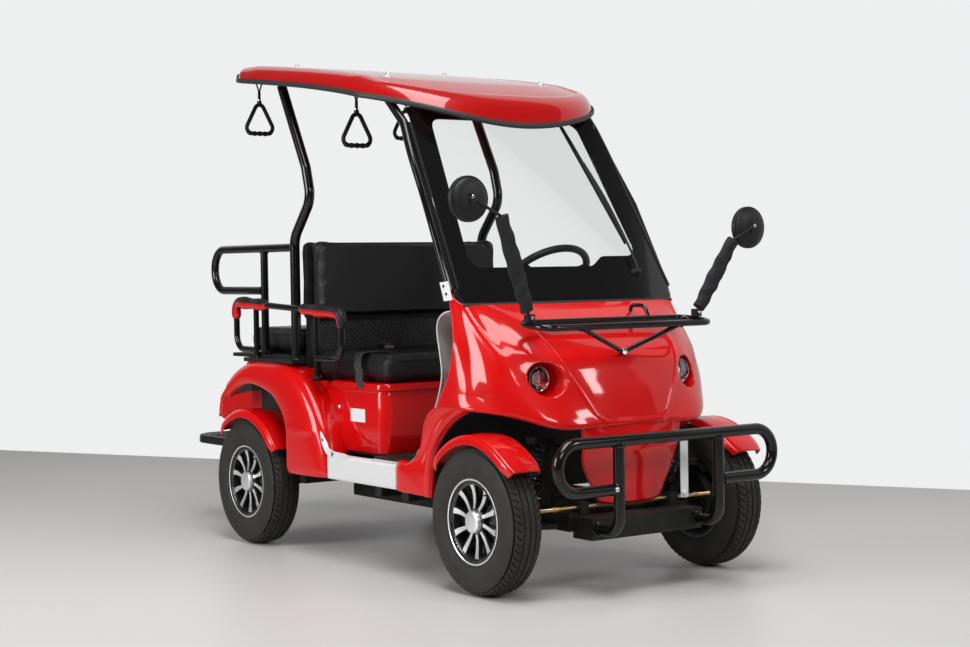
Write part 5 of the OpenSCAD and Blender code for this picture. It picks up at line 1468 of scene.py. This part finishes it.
coil = low + (high - low) * np.linspace(0, 1, 241)[:,
                                                   None] + 0.031 * (np.cos(a)[:, None] * e + np.sin(a)[:, None] * f)
piece("front_springs", pair([tube(coil, 0.0052, axis, n=10)]), [gloss])
piece("front_strap", [block((0.2135, -1.1720, 0.275), (0.2470, -1.1685, 0.492)),
                      lathe(hexagon, (0.230, -1.1722, 0.290), (0, -1, 0), 6)], [silver],
      bevel=0.0006)

# Hanging grips. Each is a moulded triangle with a scalloped bar, hung by a metal ferrule and two cords.
for name, gx, gy in (("front", -0.350, front_axle + 0.960), ("rear_right", -0.350, rear_axle + 0.165),
                     ("rear_left", 0.350, rear_axle + 0.165)):
    top = rail_z(gy) - 0.0123
    foot = top - 0.216
    loop = resample(rounded_loop([(-0.0740, 0.008, 0), (0.0740, 0.008, 0), (0.0, 0.146, 0)], 0.024, 8),
                    150)[:, :2]
    low_bar = np.exp(-((loop[:, 1] - 0.008) / 0.006) ** 2)
    thick = 0.0080 + low_bar * (0.0010 + 0.0012 * np.cos(loop[:, 0] * 2 * np.pi / 0.024))
    ring_at = np.c_[gx + loop[:, 0], np.full(150, gy), foot + loop[:, 1]]
    cords = [tube(np.array([(gx, gy, foot + 0.170), (gx + k * 0.006, gy, foot + 0.190),
                            (gx + k * 0.0160, gy, top)]), 0.0032,
                  (0, 1, 0), n=10) for k in (-1, 1)]
    piece(f"hanging_grip_{name}", [tube(ring_at, thick, (0, 1, 0), closed=True, n=16),
                                   lathe([(0.122, 0), (0.122, 0.0100), (0.136, 0.0095), (0.139, 0.0070),
                                          (0.139, 0)],
                                         (gx, gy, foot), (0, 0, 1), 24),
                                   lathe([(0.139, 0), (0.139, 0.0060), (0.172, 0.0060), (0.176, 0.004),
                                          (0.176, 0)],
                                         (gx, gy, foot), (0, 0, 1), 20),
                                   lathe([(0.134, 0), (0.134, 0.0068), (0.144, 0.0068), (0.144, 0)],
                                         (gx, gy, foot), (0, 0, 1), 20, 1),
                                   lathe([(0.2155, 0), (0.2155, 0.018), (0.212, 0.018), (0.210, 0)],
                                         (gx, gy, foot), (0, 0, 1), 24)]
          + cords, [moulded, bright], ("hanging_grips",) if name == "front" else ())

# Seat belt. Black webbing lies over the right end of the bench and turns down its side. Its buckle has a
# red button.
webbing = Finish("belt_webbing", {"Base Color": rgb(0.02, 0.02, 0.021), "Roughness": 0.7})
ribs = webbing.node("TexWave", {"bands_direction": "Y"}, {"Scale": 260.0, "Vector": webbing.place()})
webbing.wire(webbing.surface, {"Base Color": webbing.blend(ribs, rgb(0.012, 0.012, 0.013),
                                                           rgb(0.036, 0.036, 0.038))})
webbing.bump(ribs, 0.0005, 0.5)
drape = route([(-0.255, 0, 0.7560), (-0.330, 0, 0.7605), (-0.4085, 0, 0.7560), (-0.4115, 0, 0.700),
               (-0.4145, 0, 0.655),
               (-0.4240, 0, 0.636)], 0.030, 8)
drape = spline(drape, np.linspace(0, len(drape) - 1, 80))
wide = np.linspace(-0.0245, 0.0245, 11)
sag = np.linspace(0, 1, 80)[:, None]
belt = drape[:, None] + np.stack([0 * wide, wide, 0 * wide], -1)[None] + np.stack(
    [0 * sag + 0 * wide, -0.105 - 0.045 * sag**2 + 0 * wide, 0.0008 * np.sin(7 * sag + 40 * wide)], -1)
piece("seat_belt", sheet(belt, 0.0016), [webbing])
piece("belt_buckle", [block((-0.100, 0.1975, 0.7520), (-0.046, 0.2205, 0.7700)),
                      block((-0.094, 0.1945, 0.7560), (-0.052, 0.1985, 0.7660), 1),
                      block((-0.086, 0.2000, 0.7690), (-0.060, 0.2180, 0.7730), 2)],
      [moulded, bright, red], bevel=0.0015)
dress(moulded, "battery_pack")
